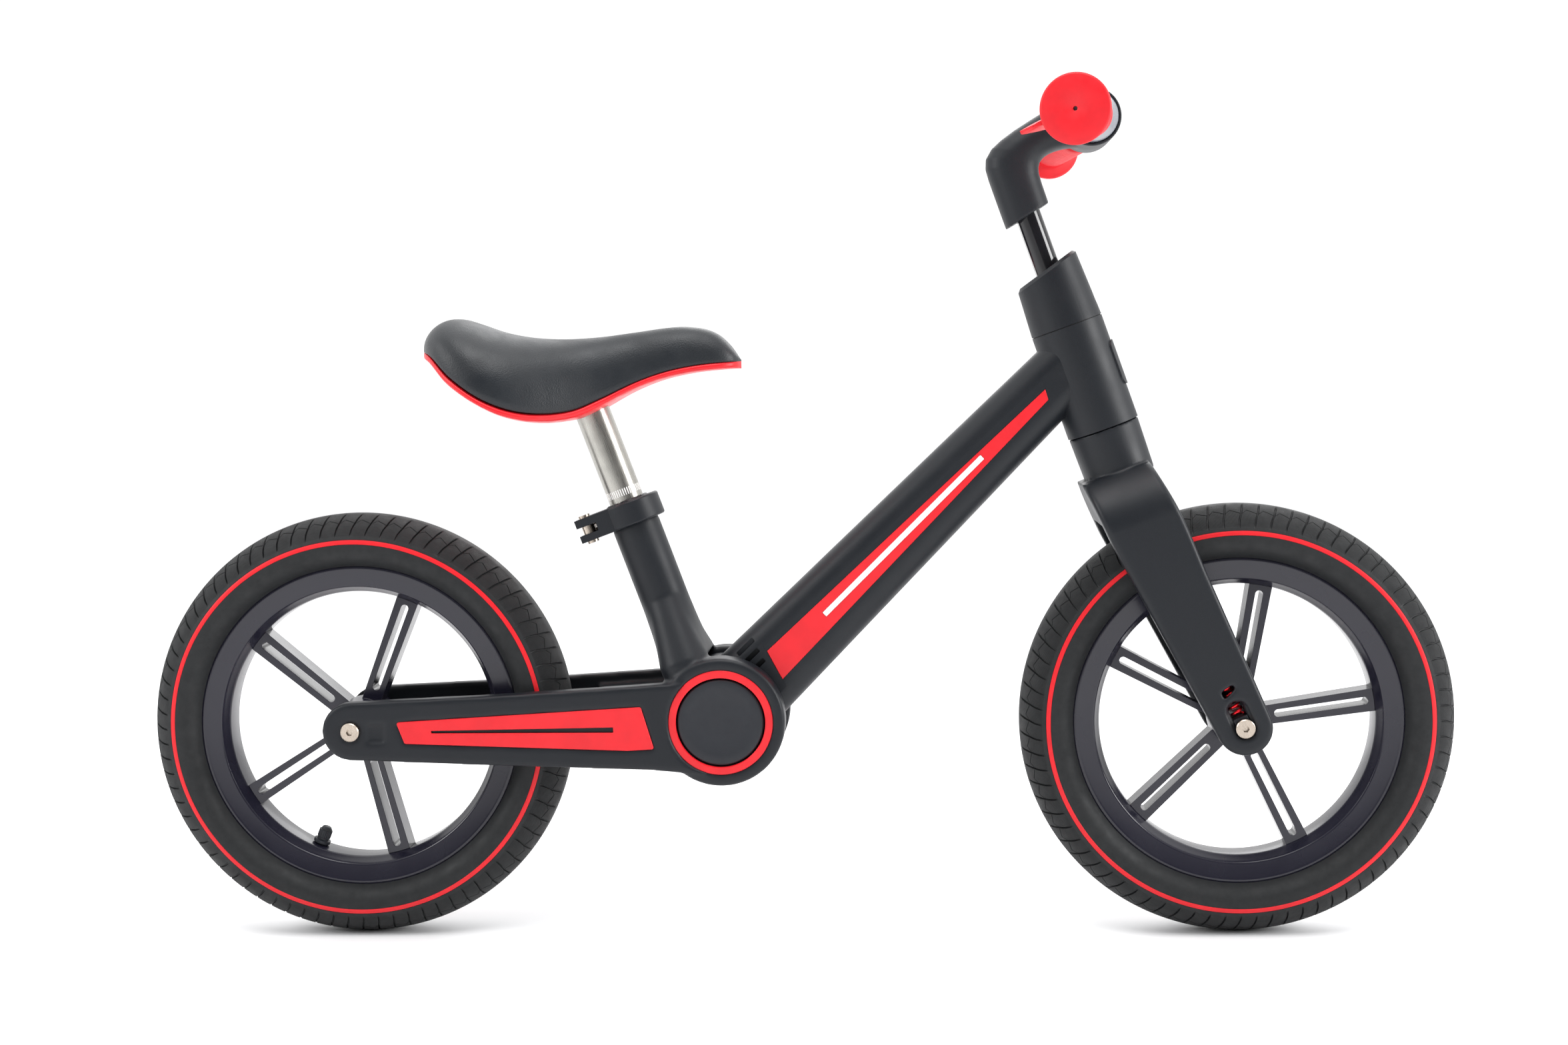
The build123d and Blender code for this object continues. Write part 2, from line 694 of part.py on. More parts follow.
saddle_top = [(-264, 430), (-241.4, 450), (-225, 445.6), (-183, 435.2), (-160, 434.2), (-112, 437.8),
              (-77, 441.2), (-58, 439.4), (-45, 432), (-35.5, 417.5)]
saddle_seam = [(-264, 428), (-252, 430), (-236, 408.5), (-215, 394), (-193, 384.6), (-174, 382),
               (-154, 383.6), (-136, 391.2), (-108, 403.9), (-86, 411.2), (-62, 415.4), (-35, 416.6)]
saddle_low = [(-262, 424), (-254, 424.5), (-239, 405), (-217, 389.2), (-198, 379.6), (-176, 374.2),
              (-154, 376), (-141, 380.4), (-114, 395.6), (-92, 404.4), (-68, 408.8), (-44, 410.6),
              (-36, 410.6)]
saddle_plan = [(-264.5, 0), (-259, 30), (-240, 56), (-212, 65), (-182, 57), (-152, 38), (-120, 25),
               (-85, 20.5), (-55, 19), (-40, 13), (-35, 0)]


def saddle_outline():
    """Plan view of the saddle, drawn on the ground plane."""
    with BuildSketch(mode=Mode.PRIVATE) as plan:
        with BuildLine():
            half = Spline(*saddle_plan, tangents=((0, 1), (0, -1)))
            mirror(half, about=Plane.XZ)
        make_face()
    return plan.sketch


with BuildPart() as saddle_shell:
    with BuildSketch(side_plane()):
        with BuildLine():
            upper = Polyline(*saddle_seam)
            lower = Polyline(*saddle_low)
            Line(upper @ 0, lower @ 0)
            Line(upper @ 1, lower @ 1)
        make_face()
    extrude(amount=80, both=True)
    extrude(saddle_outline(), amount=500, mode=Mode.INTERSECT)
    with BuildSketch(seat_plane.offset(60)):
        Circle(SEAT_POST_R + 0.02)
    extrude(amount=POST_HIGH - 60 + 0.1, mode=Mode.SUBTRACT)
save(saddle_shell.part, "saddle_shell")

with BuildPart() as saddle_cover:
    with BuildSketch(side_plane()):
        with BuildLine():
            crown = Spline(*saddle_top)
            seam = Polyline(*saddle_seam)
            Line(crown @ 0, seam @ 0)
            Line(crown @ 1, seam @ 1)
        make_face()
    extrude(amount=80, both=True)
    extrude(saddle_outline(), amount=500, mode=Mode.INTERSECT)
    with BuildSketch(seat_plane.offset(60)):
        Circle(SEAT_POST_R + 0.02)
    extrude(amount=POST_HIGH - 60 + 0.1, mode=Mode.SUBTRACT)
save(saddle_cover.part, "saddle_cover")

with BuildPart() as seat_post:
    with BuildSketch(seat_plane.offset(POST_LOW)):
        Circle(SEAT_POST_R)
        Circle(SEAT_POST_R - POST_WALL, mode=Mode.SUBTRACT)
    extrude(amount=POST_HIGH - POST_LOW)
save(seat_post.part, "seat_post")

# ---------------------------------------------------------------- front beam and head
BEAM_FROM, BEAM_TO = 30, 372
BEAM_CORNER = 16


def beam_section(distance, shrink=0.0):
    """Rounded section of the beam at a distance from the hub; the beam is deeper at the hub."""
    top = 31.1 - (distance - 67.5) * 0.0215
    bottom = -29.4 + (distance - 44.2) * 0.0272
    with BuildSketch(beam_end.offset(distance), mode=Mode.PRIVATE) as section:
        with Locations(((top + bottom) / 2, 0)):
            RectangleRounded(top - bottom - 2 * shrink, BEAM_WIDTH - 2 * shrink, BEAM_CORNER - shrink)
    return section.sketch


# the connector meets the beam on a plane that leans further back than the beam's own square end
joint_low = beam_side.from_local_coords(Vector(45.4, -29.3, 0))
joint_high = beam_side.from_local_coords(Vector(62.2, 31.9, 0))
joint_dir = (joint_high - joint_low).normalized()
joint_plane = Plane(origin=joint_low, x_dir=joint_dir, z_dir=joint_dir.cross(Vector(0, 1, 0)))
if joint_plane.z_dir.X < 0:
    joint_plane = -joint_plane
head_joint_u = -30.3
head_joint = Plane(
    origin=head_side.from_local_coords(Vector(head_joint_u, 0, 0)),
    x_dir=head_plane.z_dir,
    z_dir=head_plane.x_dir,
)
PANEL_DEPTH = 1.6
panel_outline = [(50.5, -10.6), (325.8, -3.4), (329.5, 3.4), (57.2, 11.6)]
STRIP_FROM, STRIP_TO, STRIP_HALF, STRIP_N = 105, 264.5, 2.1, 1

with BuildPart() as beam_connector:
    add(loft([beam_section(BEAM_FROM - 20), beam_section(BEAM_FROM + 60)], mode=Mode.PRIVATE))
    split(bisect_by=joint_plane, keep=Keep.BOTTOM)
    with BuildSketch(side_plane(HUB)):
        Circle(LUG_R)
    extrude(amount=LUG_HALF, both=True)
    with BuildSketch(side_plane(HUB)):
        Circle(200)
    extrude(amount=LUG_HALF, both=True, mode=Mode.INTERSECT)
    with BuildSketch(side_plane(HUB)):
        Circle(BARREL_R + RUNNING)
    extrude(amount=60, both=True, mode=Mode.SUBTRACT)
    for side in SIDES.values():
        slot_plane = Plane(
            origin=(HUB_X, side * (LUG_HALF - 4), HUB_Z),
            x_dir=beam_side.x_dir,
            z_dir=(0, side, 0),
        )
        with BuildSketch(slot_plane):
            for end, low, high in ((56, 22.7, 26.2), (53.7, 15, 18.7), (51.5, 7, 10.6)):
                with Locations((end - 8, -side * (low + high) / 2)):
                    RectangleRounded(16, high - low, 1)
        extrude(amount=10, mode=Mode.SUBTRACT)
save(beam_connector.part, "beam_connector")

with BuildPart() as main_beam:
    add(loft([beam_section(BEAM_FROM), beam_section(BEAM_TO)], mode=Mode.PRIVATE))
    inner = loft(
        [beam_section(BEAM_FROM - 1, BEAM_WALL), beam_section(BEAM_TO + 1, BEAM_WALL)],
        mode=Mode.PRIVATE,
    )
    add(inner, mode=Mode.SUBTRACT)
    split(bisect_by=joint_plane, keep=Keep.TOP)
    split(bisect_by=head_joint, keep=Keep.BOTTOM)
    for side in SIDES.values():
        panel_plane = Plane(
            origin=(HUB_X, side * (BEAM_WIDTH / 2 - PANEL_DEPTH), HUB_Z),
            x_dir=beam_side.x_dir,
            z_dir=(0, side, 0),
        )
        with BuildSketch(panel_plane):
            with BuildLine():
                Polyline(*[(t, -side * n) for t, n in panel_outline], close=True)
            make_face()
            offset(amount=0.2, kind=Kind.INTERSECTION)
        extrude(amount=5, mode=Mode.SUBTRACT)
save(main_beam.part, "main_beam")

for label, side in SIDES.items():
    panel_plane = Plane(
        origin=(HUB_X, side * (BEAM_WIDTH / 2 - PANEL_DEPTH), HUB_Z),
        x_dir=beam_side.x_dir,
        z_dir=(0, side, 0),
    )
    strip_mid = (STRIP_FROM + STRIP_TO) / 2
    with BuildPart() as beam_panel:
        with BuildSketch(panel_plane):
            with BuildLine():
                Polyline(*[(t, -side * n) for t, n in panel_outline], close=True)
            make_face()
            with Locations((strip_mid, -side * STRIP_N)):
                Rectangle(STRIP_TO - STRIP_FROM, 2 * STRIP_HALF, mode=Mode.SUBTRACT)
        extrude(amount=PANEL_DEPTH + 0.1)
        split(bisect_by=joint_plane.offset(0.1), keep=Keep.TOP)
        split(bisect_by=head_joint.offset(-0.1), keep=Keep.BOTTOM)
    save(beam_panel.part, f"beam_panel_{label}")
    with BuildPart() as beam_strip:
        with BuildSketch(panel_plane):
            with Locations((strip_mid, -side * STRIP_N)):
                Rectangle(STRIP_TO - STRIP_FROM - 0.2, 2 * STRIP_HALF - 0.2)
        extrude(amount=PANEL_DEPTH + 0.3)
    save(beam_strip.part, f"beam_strip_{label}")

BEARING_SEAT_R = 22
HEAD_BORE_R = 19

with BuildPart() as head_shell:
    add(loft([beam_section(BEAM_TO - 70), beam_section(BEAM_TO - 8)], mode=Mode.PRIVATE))
    split(bisect_by=head_joint, keep=Keep.TOP)
    with BuildSketch(head_plane):
        Circle(HEAD_R)
    extrude(amount=HEAD_LENGTH)
    with BuildSketch(head_plane):
        Circle(HEAD_BORE_R)
    extrude(amount=HEAD_LENGTH + 60, mode=Mode.SUBTRACT)
    with BuildSketch(head_plane.offset(-20)):
        Circle(HEAD_BORE_R)
    extrude(amount=21, mode=Mode.SUBTRACT)
    for level in (0, HEAD_LENGTH - 10):
        with BuildSketch(head_plane.offset(level)):
            Circle(BEARING_SEAT_R)
        extrude(amount=10, mode=Mode.SUBTRACT)
save(head_shell.part, "head_shell")

with BuildPart() as headset_bearings:
    for level in (1.5, HEAD_LENGTH - 9.9):
        with BuildSketch(head_plane.offset(level)):
            Circle(BEARING_SEAT_R - 0.02)
            Circle(STEERER_R + 0.04, mode=Mode.SUBTRACT)
        extrude(amount=8)
save(headset_bearings.part, "headset_bearings")

with BuildPart() as head_badge:
    with BuildSketch(head_plane.offset(24)):
        Circle(HEAD_R + 1.2)
        Circle(HEAD_R + 0.02, mode=Mode.SUBTRACT)
    extrude(amount=34)
    badge_face = Plane(origin=head_plane.offset(41).origin, x_dir=ACROSS, z_dir=head_plane.x_dir)
    with BuildSketch(badge_face):
        RectangleRounded(26, 33, 6)
    extrude(amount=60, mode=Mode.INTERSECT)
save(head_badge.part, "head_badge")

# ---------------------------------------------------------------- fork
CROWN_CLEAR_R = 171
LEG_BOTTOM = -262
SPRING_FROM = 8.2
SPRING_TO = 46
LEG_MID = (LEG_INNER + LEG_OUTER) / 2
COLLAR_TOP = -GAP

slot_up = radians(SLOT_TILT)


def slot_point(distance, y):
    """Point up the suspension slot from the front axle."""
    return (FRONT_AXLE[0] - distance * sin(slot_up), y, AXLE_Z + distance * cos(slot_up))


with BuildPart() as fork:
    with BuildSketch(side_plane()):
        with BuildLine():
            Polyline((300.5, 146), (225.2, 285.7), (207, 325), (254.7, 341.5))
            Spline((254.7, 341.5), (272.9, 307.6), (294.9, 256.1), tangents=((0.45, -0.9), (0.41, -0.91)))
            Line((294.9, 256.1), (335.6, 162.6))
            ThreePointArc((335.6, 162.6), (326, 137.2), (300.5, 146))
        make_face()
    extrude(amount=LEG_OUTER, both=True)
    # front view: shoulders curve out from the collar and run down to the leg ends
    front_view = Plane(origin=HEAD_BOTTOM, x_dir=ACROSS, z_dir=head_plane.x_dir)
    with BuildSketch(front_view):
        with BuildLine():
            Line((-20, -30), (20, -30))
            ThreePointArc((20, -30), (42, -46), (LEG_OUTER, -74))
            Line((LEG_OUTER, -74), (LEG_OUTER, LEG_BOTTOM))
            Line((LEG_OUTER, LEG_BOTTOM), (-LEG_OUTER, LEG_BOTTOM))
            Line((-LEG_OUTER, LEG_BOTTOM), (-LEG_OUTER, -74))
            ThreePointArc((-LEG_OUTER, -74), (-42, -46), (-20, -30))
        make_face()
    extrude(amount=160, both=True, mode=Mode.INTERSECT)
    leg_faces = fork.faces().filter_by(Axis.Y).group_by(Axis.Y)
    fillet(leg_faces[0].edges() + leg_faces[-1].edges(), radius=4)
    # collar under the head
    with BuildSketch(head_plane.offset(COLLAR_TOP)):
        Circle(HEAD_R - 0.4)
    with BuildSketch(head_plane.offset(-38)):
        Circle(HEAD_R - 1.2)
    loft()
    # tunnel for the wheel
    with BuildSketch(side_plane(FRONT_AXLE)):
        Circle(CROWN_CLEAR_R)
    extrude(amount=LEG_INNER, both=True, mode=Mode.SUBTRACT)
    # bore for the steerer tube
    with BuildSketch(head_plane.offset(-30)):
        Circle(STEERER_R)
    extrude(amount=60, mode=Mode.SUBTRACT)
    with BuildSketch(head_plane.offset(-100)):
        Circle(STEM_TUBE_R + 0.3)
    extrude(amount=100, mode=Mode.SUBTRACT)
    for side in SIDES.values():
        slot_out = Plane(
            origin=slot_point(SUSPENSION_TRAVEL / 2, side * (LEG_OUTER - 2.8)),
            x_dir=(-sin(slot_up), 0, cos(slot_up)),
            z_dir=(0, side, 0),
        )
        with BuildSketch(slot_out):
            with Locations((1.5, 0)):
                SlotCenterToCenter(SUSPENSION_TRAVEL + 3, 16)
        extrude(amount=6, mode=Mode.SUBTRACT)
        with BuildSketch(slot_out):
            with Locations((1, 0)):
                Rectangle(SUSPENSION_TRAVEL + 14.4, SLOT_WIDTH)
        extrude(amount=-30, mode=Mode.SUBTRACT)
        # spring bore and the small slanted window into it
        bore = Plane(origin=slot_point(0, side * LEG_MID), z_dir=(-sin(slot_up), 0, cos(slot_up)))
        with BuildSketch(bore):
            Circle(SLOT_WIDTH / 2)
        extrude(amount=SPRING_TO + 0.3, mode=Mode.SUBTRACT)
        with BuildSketch(side_plane(y=side * LEG_MID)):
            with BuildLine():
                Polyline((310.6, 187.2), (310.2, 182.9), (302.6, 174.6), (300.9, 180.6), close=True)
            make_face()
        extrude(amount=-side * 20, mode=Mode.SUBTRACT)
save(fork.part, "fork")

with BuildPart() as steerer_tube:
    with BuildSketch(head_plane.offset(-30)):
        Circle(STEERER_R - 0.01)
        Circle(STEERER_BORE, mode=Mode.SUBTRACT)
    extrude(amount=134)
save(steerer_tube.part, "steerer_tube")

COVER_LOW = HEAD_LENGTH + 0.6
cover_cut = tilted_plane(head_plane.offset(120.2).origin, HEAD_TILT + 16.5)

with BuildPart() as head_cover:
    with BuildSketch(head_plane.offset(COVER_LOW)):
        Circle(HEAD_R)
    with BuildSketch(head_plane.offset(140)):
        Circle(HEAD_R - 3)
    loft()
    split(bisect_by=cover_cut, keep=Keep.BOTTOM)
    top_rim = head_cover.faces().sort_by(Axis((0, 0, 0), cover_cut.z_dir))[-1].edges()
    chamfer(top_rim, length=2.2)
    with BuildSketch(head_plane.offset(COVER_LOW - 1)):
        Circle(STEERER_R)
    extrude(amount=28, mode=Mode.SUBTRACT)
    with BuildSketch(head_plane.offset(COVER_LOW)):
        Circle(STEM_TUBE_R + 0.4)
    extrude(amount=80, mode=Mode.SUBTRACT)
    screw_plane = Plane(origin=head_plane.offset(89).origin, x_dir=ACROSS, z_dir=head_plane.x_dir)
    with BuildSketch(screw_plane.offset(STEERER_R + 6.5)):
        Circle(4.6)
    extrude(amount=20, mode=Mode.SUBTRACT)
    with BuildSketch(screw_plane.offset(STEERER_R - 1)):
        Circle(2.5)
    extrude(amount=20, mode=Mode.SUBTRACT)
save(head_cover.part, "head_cover")

with BuildPart() as cover_screw:
    with BuildSketch(screw_plane.offset(STEERER_R + 6.5)):
        Circle(4.2)
    extrude(amount=3.6)
    with BuildSketch(screw_plane.offset(STEERER_R + 0.2)):
        Circle(2.48)
    extrude(amount=7)
    with BuildSketch(screw_plane.offset(STEERER_R + 10.1)):
        RegularPolygon(2, 6)
    extrude(amount=-2.5, mode=Mode.SUBTRACT)
save(cover_screw.part, "head_cover_screw")

for label, side in SIDES.items():
    fork_spring = coil(
        SPRING_R,
        SPRING_WIRE_R,
        SPRING_TO - SPRING_FROM - 2 * SPRING_WIRE_R,
        8,
        Plane(
            origin=slot_point(SPRING_FROM + SPRING_WIRE_R, side * LEG_MID),
            z_dir=(-sin(slot_up), 0, cos(slot_up)),
        ).location,
    )
    save(fork_spring, f"fork_spring_{label}")

# ---------------------------------------------------------------- front axle
with BuildPart() as slider_blocks:
    for side in SIDES.values():
        block_plane = Plane(
            origin=slot_point(0, side * (LEG_INNER + 0.6)),
            x_dir=(-sin(slot_up), 0, cos(slot_up)),
            z_dir=(0, side, 0),
        )
        with BuildSketch(block_plane):
            with Locations((1, 0)):
                Rectangle(14, SLOT_WIDTH - 0.2)
            Circle(AXLE_R, mode=Mode.SUBTRACT)
        extrude(amount=LEG_OUTER - 3.2 - LEG_INNER - 0.6)
save(slider_blocks.part, "slider_blocks")

with BuildPart() as front_axle:
    with BuildSketch(side_plane(FRONT_AXLE)):
        Circle(AXLE_R - 0.02)
        Circle(AXLE_R - 2, mode=Mode.SUBTRACT)
    extrude(amount=LEG_OUTER - 3.2, both=True)
save(front_axle.part, "front_axle")
save(make_axle_bolts(FRONT_AXLE, LEG_OUTER - 2.4, 4), "front_axle_bolts")

# ---------------------------------------------------------------- stem and handlebar
STEM_LOW = 18
STEM_HIGH = 185
LEG_R = 17.3
FLAT_U = -8

with BuildPart() as stem_tube:
    with BuildSketch(head_plane.offset(STEM_LOW)):
        Circle(STEM_TUBE_R)
        with Locations((FLAT_U - 5, 0)):
            Rectangle(10, 30, mode=Mode.SUBTRACT)
        Circle(STEM_TUBE_R - 2.5, mode=Mode.SUBTRACT)
    extrude(amount=STEM_HIGH - STEM_LOW)
save(stem_tube.part, "stem_tube")

T_CENTRE = (T_X, 0, T_Z)
with BuildPart() as stem:
    # arm that rises forward from the elbow to the T barrel
    with BuildSketch(head_side):
        with BuildLine():
            Polyline(
                (-15.5, 190),
                (-14.5, 208),
                (-8, 213.5),
                (9.8, 220),
                (60, 229),
                (60, 189),
                (40, 196.5),
                (25, 195.5),
                (18.3, 190),
                close=True,
            )
        make_face()
    extrude(amount=LEG_R - 0.6, both=True)
    arm_edges = stem.faces().filter_by(Axis.Y).edges()
    fillet(arm_edges, radius=7)
    with BuildSketch(head_plane.offset(150)):
        Circle(LEG_R)
    extrude(amount=52)
    stem_cut = tilted_plane(head_plane.offset(160.3).origin, HEAD_TILT + 12.5)
    split(bisect_by=stem_cut, keep=Keep.TOP)
    with BuildSketch(side_plane(T_CENTRE)):
        Circle(T_R)
    extrude(amount=T_HALF, both=True)
    with BuildSketch(side_plane(T_CENTRE)):
        Circle(T_R - 2.4)
    extrude(amount=T_HALF + 1, both=True, mode=Mode.SUBTRACT)
    with BuildSketch(head_plane.offset(140)):
        Circle(STEM_TUBE_R + 0.02)
    extrude(amount=STEM_HIGH - 140 + 0.1, mode=Mode.SUBTRACT)
save(stem.part, "stem")

# the bar runs straight through the T, then sweeps back and down and thins towards the grips
sweep_x = BAR_END[0] - T_X
sweep_z = BAR_END[2] - T_Z
SWEEP_START = 28
GRIP_START = 50
FLARE_R = BAR_R + 3


def bar_point(distance):
    """Centre of the bar at a distance out from the middle."""
    share = max(0.0, (distance - SWEEP_START) / (BAR_END[1] - SWEEP_START))
    return (T_X + share * sweep_x, distance, T_Z + share * sweep_z)


def bar_plane(distance, side):
    """Plane square to the swept bar, normal pointing outward."""
    x, y, z = bar_point(distance)
    run = BAR_END[1] - SWEEP_START
    return Plane(origin=(x, side * y, z), z_dir=(sweep_x, side * run, sweep_z))


with BuildPart() as handlebar:
    with BuildSketch(side_plane(T_CENTRE)):
        Circle(T_R - 2.42)
    extrude(amount=SWEEP_START, both=True)
    for side in SIDES.values():
        with BuildSketch(facing(T_CENTRE, side, SWEEP_START)):
            Circle(T_R - 2.42)
        with BuildSketch(bar_plane(GRIP_START - 4, side)):
            Circle(FLARE_R)
        loft()
        with BuildSketch(bar_plane(GRIP_START - 4, side)):
            Circle(BAR_R)
        extrude(amount=BAR_END[1] - GRIP_START)
save(handlebar.part, "handlebar")

GRIP_R = 15.5
FLANGE = 4
WING_REACH = 41
WING_ANGLE = 200
grip_length = BAR_END[1] - GRIP_START

for label, side in SIDES.items():
    start = bar_plane(GRIP_START, side)
    with BuildPart() as grip:
        with BuildSketch(start):
            Circle(GRIP_R + 1)
        with BuildSketch(start.offset(grip_length)):
            Circle(GRIP_R - 1)
        loft()
        with BuildSketch(start.offset(grip_length - FLANGE)):
            Circle(FLANGE_R)
        extrude(amount=FLANGE + 1)
        flange_rim = circles_of(grip, FLANGE_R)
        fillet(flange_rim, radius=1.6)
        # palm wing behind the grip
        wing_turn = radians(WING_ANGLE)
        wing_x = Vector(cos(wing_turn), 0, sin(wing_turn))
        wing_plane = Plane(origin=start.origin, x_dir=wing_x, z_dir=wing_x.cross(start.z_dir))
        flip = 1 if wing_plane.y_dir.Y * side > 0 else -1
        with BuildSketch(wing_plane):
            with BuildLine():
                edge = Spline(
                    (8, flip * 15),
                    (24, flip * 28),
                    (WING_REACH - 1, flip * 60),
                    (WING_REACH - 6, flip * 75),
                    (20, flip * (grip_length - 1)),
                )
                Line((20, flip * (grip_length - 1)), (8, flip * (grip_length - 1)))
                Line((8, flip * (grip_length - 1)), edge @ 0)
            make_face()
        extrude(amount=2.4, both=True)
        with BuildSketch(start.offset(-1)):
            Circle(BAR_R + 0.02)
        extrude(amount=grip_length - 2, mode=Mode.SUBTRACT)
        with BuildSketch(start.offset(grip_length - 10)):
            Circle(1.5)
        extrude(amount=20, mode=Mode.SUBTRACT)
    save(grip.part, f"grip_{label}")
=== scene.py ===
import json
from math import atan2, cos, pi, radians, sin

import bmesh
import bpy
from mathutils import Euler, Matrix, Vector
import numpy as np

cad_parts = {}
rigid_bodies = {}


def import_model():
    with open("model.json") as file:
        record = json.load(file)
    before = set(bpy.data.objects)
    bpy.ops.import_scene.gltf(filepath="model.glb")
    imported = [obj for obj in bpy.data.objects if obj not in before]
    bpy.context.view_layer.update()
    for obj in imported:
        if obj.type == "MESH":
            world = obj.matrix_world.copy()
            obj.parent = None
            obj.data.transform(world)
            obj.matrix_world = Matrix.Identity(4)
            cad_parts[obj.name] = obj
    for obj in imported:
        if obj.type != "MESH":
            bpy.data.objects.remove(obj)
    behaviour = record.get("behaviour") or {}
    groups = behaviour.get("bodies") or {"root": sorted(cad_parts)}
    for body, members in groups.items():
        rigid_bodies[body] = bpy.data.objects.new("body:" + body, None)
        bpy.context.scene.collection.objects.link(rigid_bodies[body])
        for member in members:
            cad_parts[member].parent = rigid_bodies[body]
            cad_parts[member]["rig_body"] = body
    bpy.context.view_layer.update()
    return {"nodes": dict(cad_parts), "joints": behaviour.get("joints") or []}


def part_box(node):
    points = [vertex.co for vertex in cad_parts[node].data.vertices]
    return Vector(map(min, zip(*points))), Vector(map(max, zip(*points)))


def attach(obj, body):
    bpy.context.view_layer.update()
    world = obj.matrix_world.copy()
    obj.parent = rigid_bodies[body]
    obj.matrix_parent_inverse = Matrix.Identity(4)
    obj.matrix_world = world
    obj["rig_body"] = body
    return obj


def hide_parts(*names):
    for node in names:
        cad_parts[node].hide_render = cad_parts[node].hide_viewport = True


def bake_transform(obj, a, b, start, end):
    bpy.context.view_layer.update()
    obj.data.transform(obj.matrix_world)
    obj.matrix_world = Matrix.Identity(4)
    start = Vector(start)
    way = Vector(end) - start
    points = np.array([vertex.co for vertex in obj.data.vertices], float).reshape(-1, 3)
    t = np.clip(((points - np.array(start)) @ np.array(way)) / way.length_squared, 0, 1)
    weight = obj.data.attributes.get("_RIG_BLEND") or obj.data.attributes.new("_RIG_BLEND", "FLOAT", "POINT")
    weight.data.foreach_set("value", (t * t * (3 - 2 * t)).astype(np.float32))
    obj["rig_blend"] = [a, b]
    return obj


bl_info = {
    "name": "Folding Balance Bike",
    "version": (1, 0, 0),
    "blender": (4, 5, 0),
    "location": "View3D > Sidebar > Balance Bike",
    "description": "Builds the tyres, saddle, grips and finishes of a folding balance bike",
    "category": "Object",
}

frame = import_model()

MM = 0.001
NODES = frame["nodes"]
JOINTS = {joint["name"]: joint for joint in frame["joints"]}
REAR_AXLE = Vector(JOINTS["rear_wheel_spin"]["pos_m"])
FRONT_AXLE = Vector(JOINTS["front_wheel_spin"]["pos_m"])
HUB = Vector(JOINTS["front_fold"]["pos_m"])
HEAD_BOTTOM = Vector(JOINTS["steering"]["pos_m"])
HEAD_AXIS = Vector(JOINTS["steering"]["axis"])
SEAT_AXIS = Vector(JOINTS["seat_height"]["axis"])
SEAT_TOP = Vector((-0.1142, 0, 0.300))
ACROSS = Vector((0, 1, 0))
SIDES = {"near": -1, "far": 1}
TYRE_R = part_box("rear_tyre")[1].z - REAR_AXLE.z


# ---------------------------------------------------------------- settings
def length(label, about, millimetres):
    """A length property whose default is given in millimetres."""
    return bpy.props.FloatProperty(
        name=label, description=about, default=millimetres * MM, unit="LENGTH", precision=5
    )


def colour(label, about, rgb):
    """A colour property."""
    return bpy.props.FloatVectorProperty(
        name=label, description=about, default=rgb, subtype="COLOR", size=3, min=0, max=1
    )


class BikeFinishSettings(bpy.types.PropertyGroup):
    """Colours of the finishes."""

    frame: colour("Frame", "Powder coat of the frame, fork and stem", (0.0060, 0.0078, 0.0112))
    accent: colour("Accent", "Red mouldings, grips and springs", (0.72, 0.008, 0.016))
    wheel: colour("Wheel", "Glossy wheel moulding", (0.011, 0.0105, 0.020))
    tyre: colour("Tyre", "Tyre rubber", (0.0075, 0.0085, 0.0095))
    saddle: colour("Saddle", "Saddle leatherette", (0.0060, 0.0085, 0.0120))
    strip: colour("Strip", "Light strip in the beam", (0.88, 0.88, 0.86))
    post: colour("Seat post", "Satin anodised seat post", (0.40, 0.39, 0.36))
    bar: colour("Handlebar", "Glossy handlebar", (0.16, 0.17, 0.20))
    cap: colour("Hub caps", "Satin caps, valve tops and sliders", (0.011, 0.013, 0.018))
    stem_tube: colour("Stem tube", "Glossy tube under the stem", (0.008, 0.008, 0.010))
    spring: colour("Springs", "Red coat of the fork springs", (0.85, 0.03, 0.04))
    nickel: colour("Bolts", "Warm nickel of the bolts and pins", (0.52, 0.45, 0.38))
    steel: colour("Steel", "Turned steel inside the hubs", (0.55, 0.55, 0.56))
    dark_steel: colour("Dark steel", "Blackened steerer tube and bearings", (0.03, 0.03, 0.032))
    tube: colour("Inner tubes", "Rubber of the tubes and the head seal", (0.02, 0.02, 0.02))


class BikeTyreSettings(bpy.types.PropertyGroup):
    """Sizes of the tyres."""

    pitches: bpy.props.IntProperty(name="Tread blocks", description="Blocks round the tyre", default=80)
    groove_depth: length("Groove depth", "Depth of the grooves between blocks", 1.5)
    line_depth: length("Line depth", "Depth of the slanted line through the blocks", 0.7)
    lean: bpy.props.FloatProperty(name="Lean", description="Lean of the grooves, in blocks", default=0.56)


class BikeSaddleSettings(bpy.types.PropertyGroup):
    """Sizes of the saddle."""

    rim_bulge: length("Rim bulge", "How far the red rim stands out past the cover", 0.6)
    fill: bpy.props.FloatProperty(name="Fill", description="How tight the padding is", default=0.8)


class BikeGripSettings(bpy.types.PropertyGroup):
    """Sizes of the grips."""

    ribs: bpy.props.IntProperty(name="Ribs", description="Fine ribs along a grip", default=20)
    rib_height: length("Rib height", "Height of a rib", 0.35)
    wing_root: length("Wing root", "Thickness of the palm wing at the grip", 8)
    wing_tip: length("Wing tip", "Thickness of the palm wing at its edge", 4)


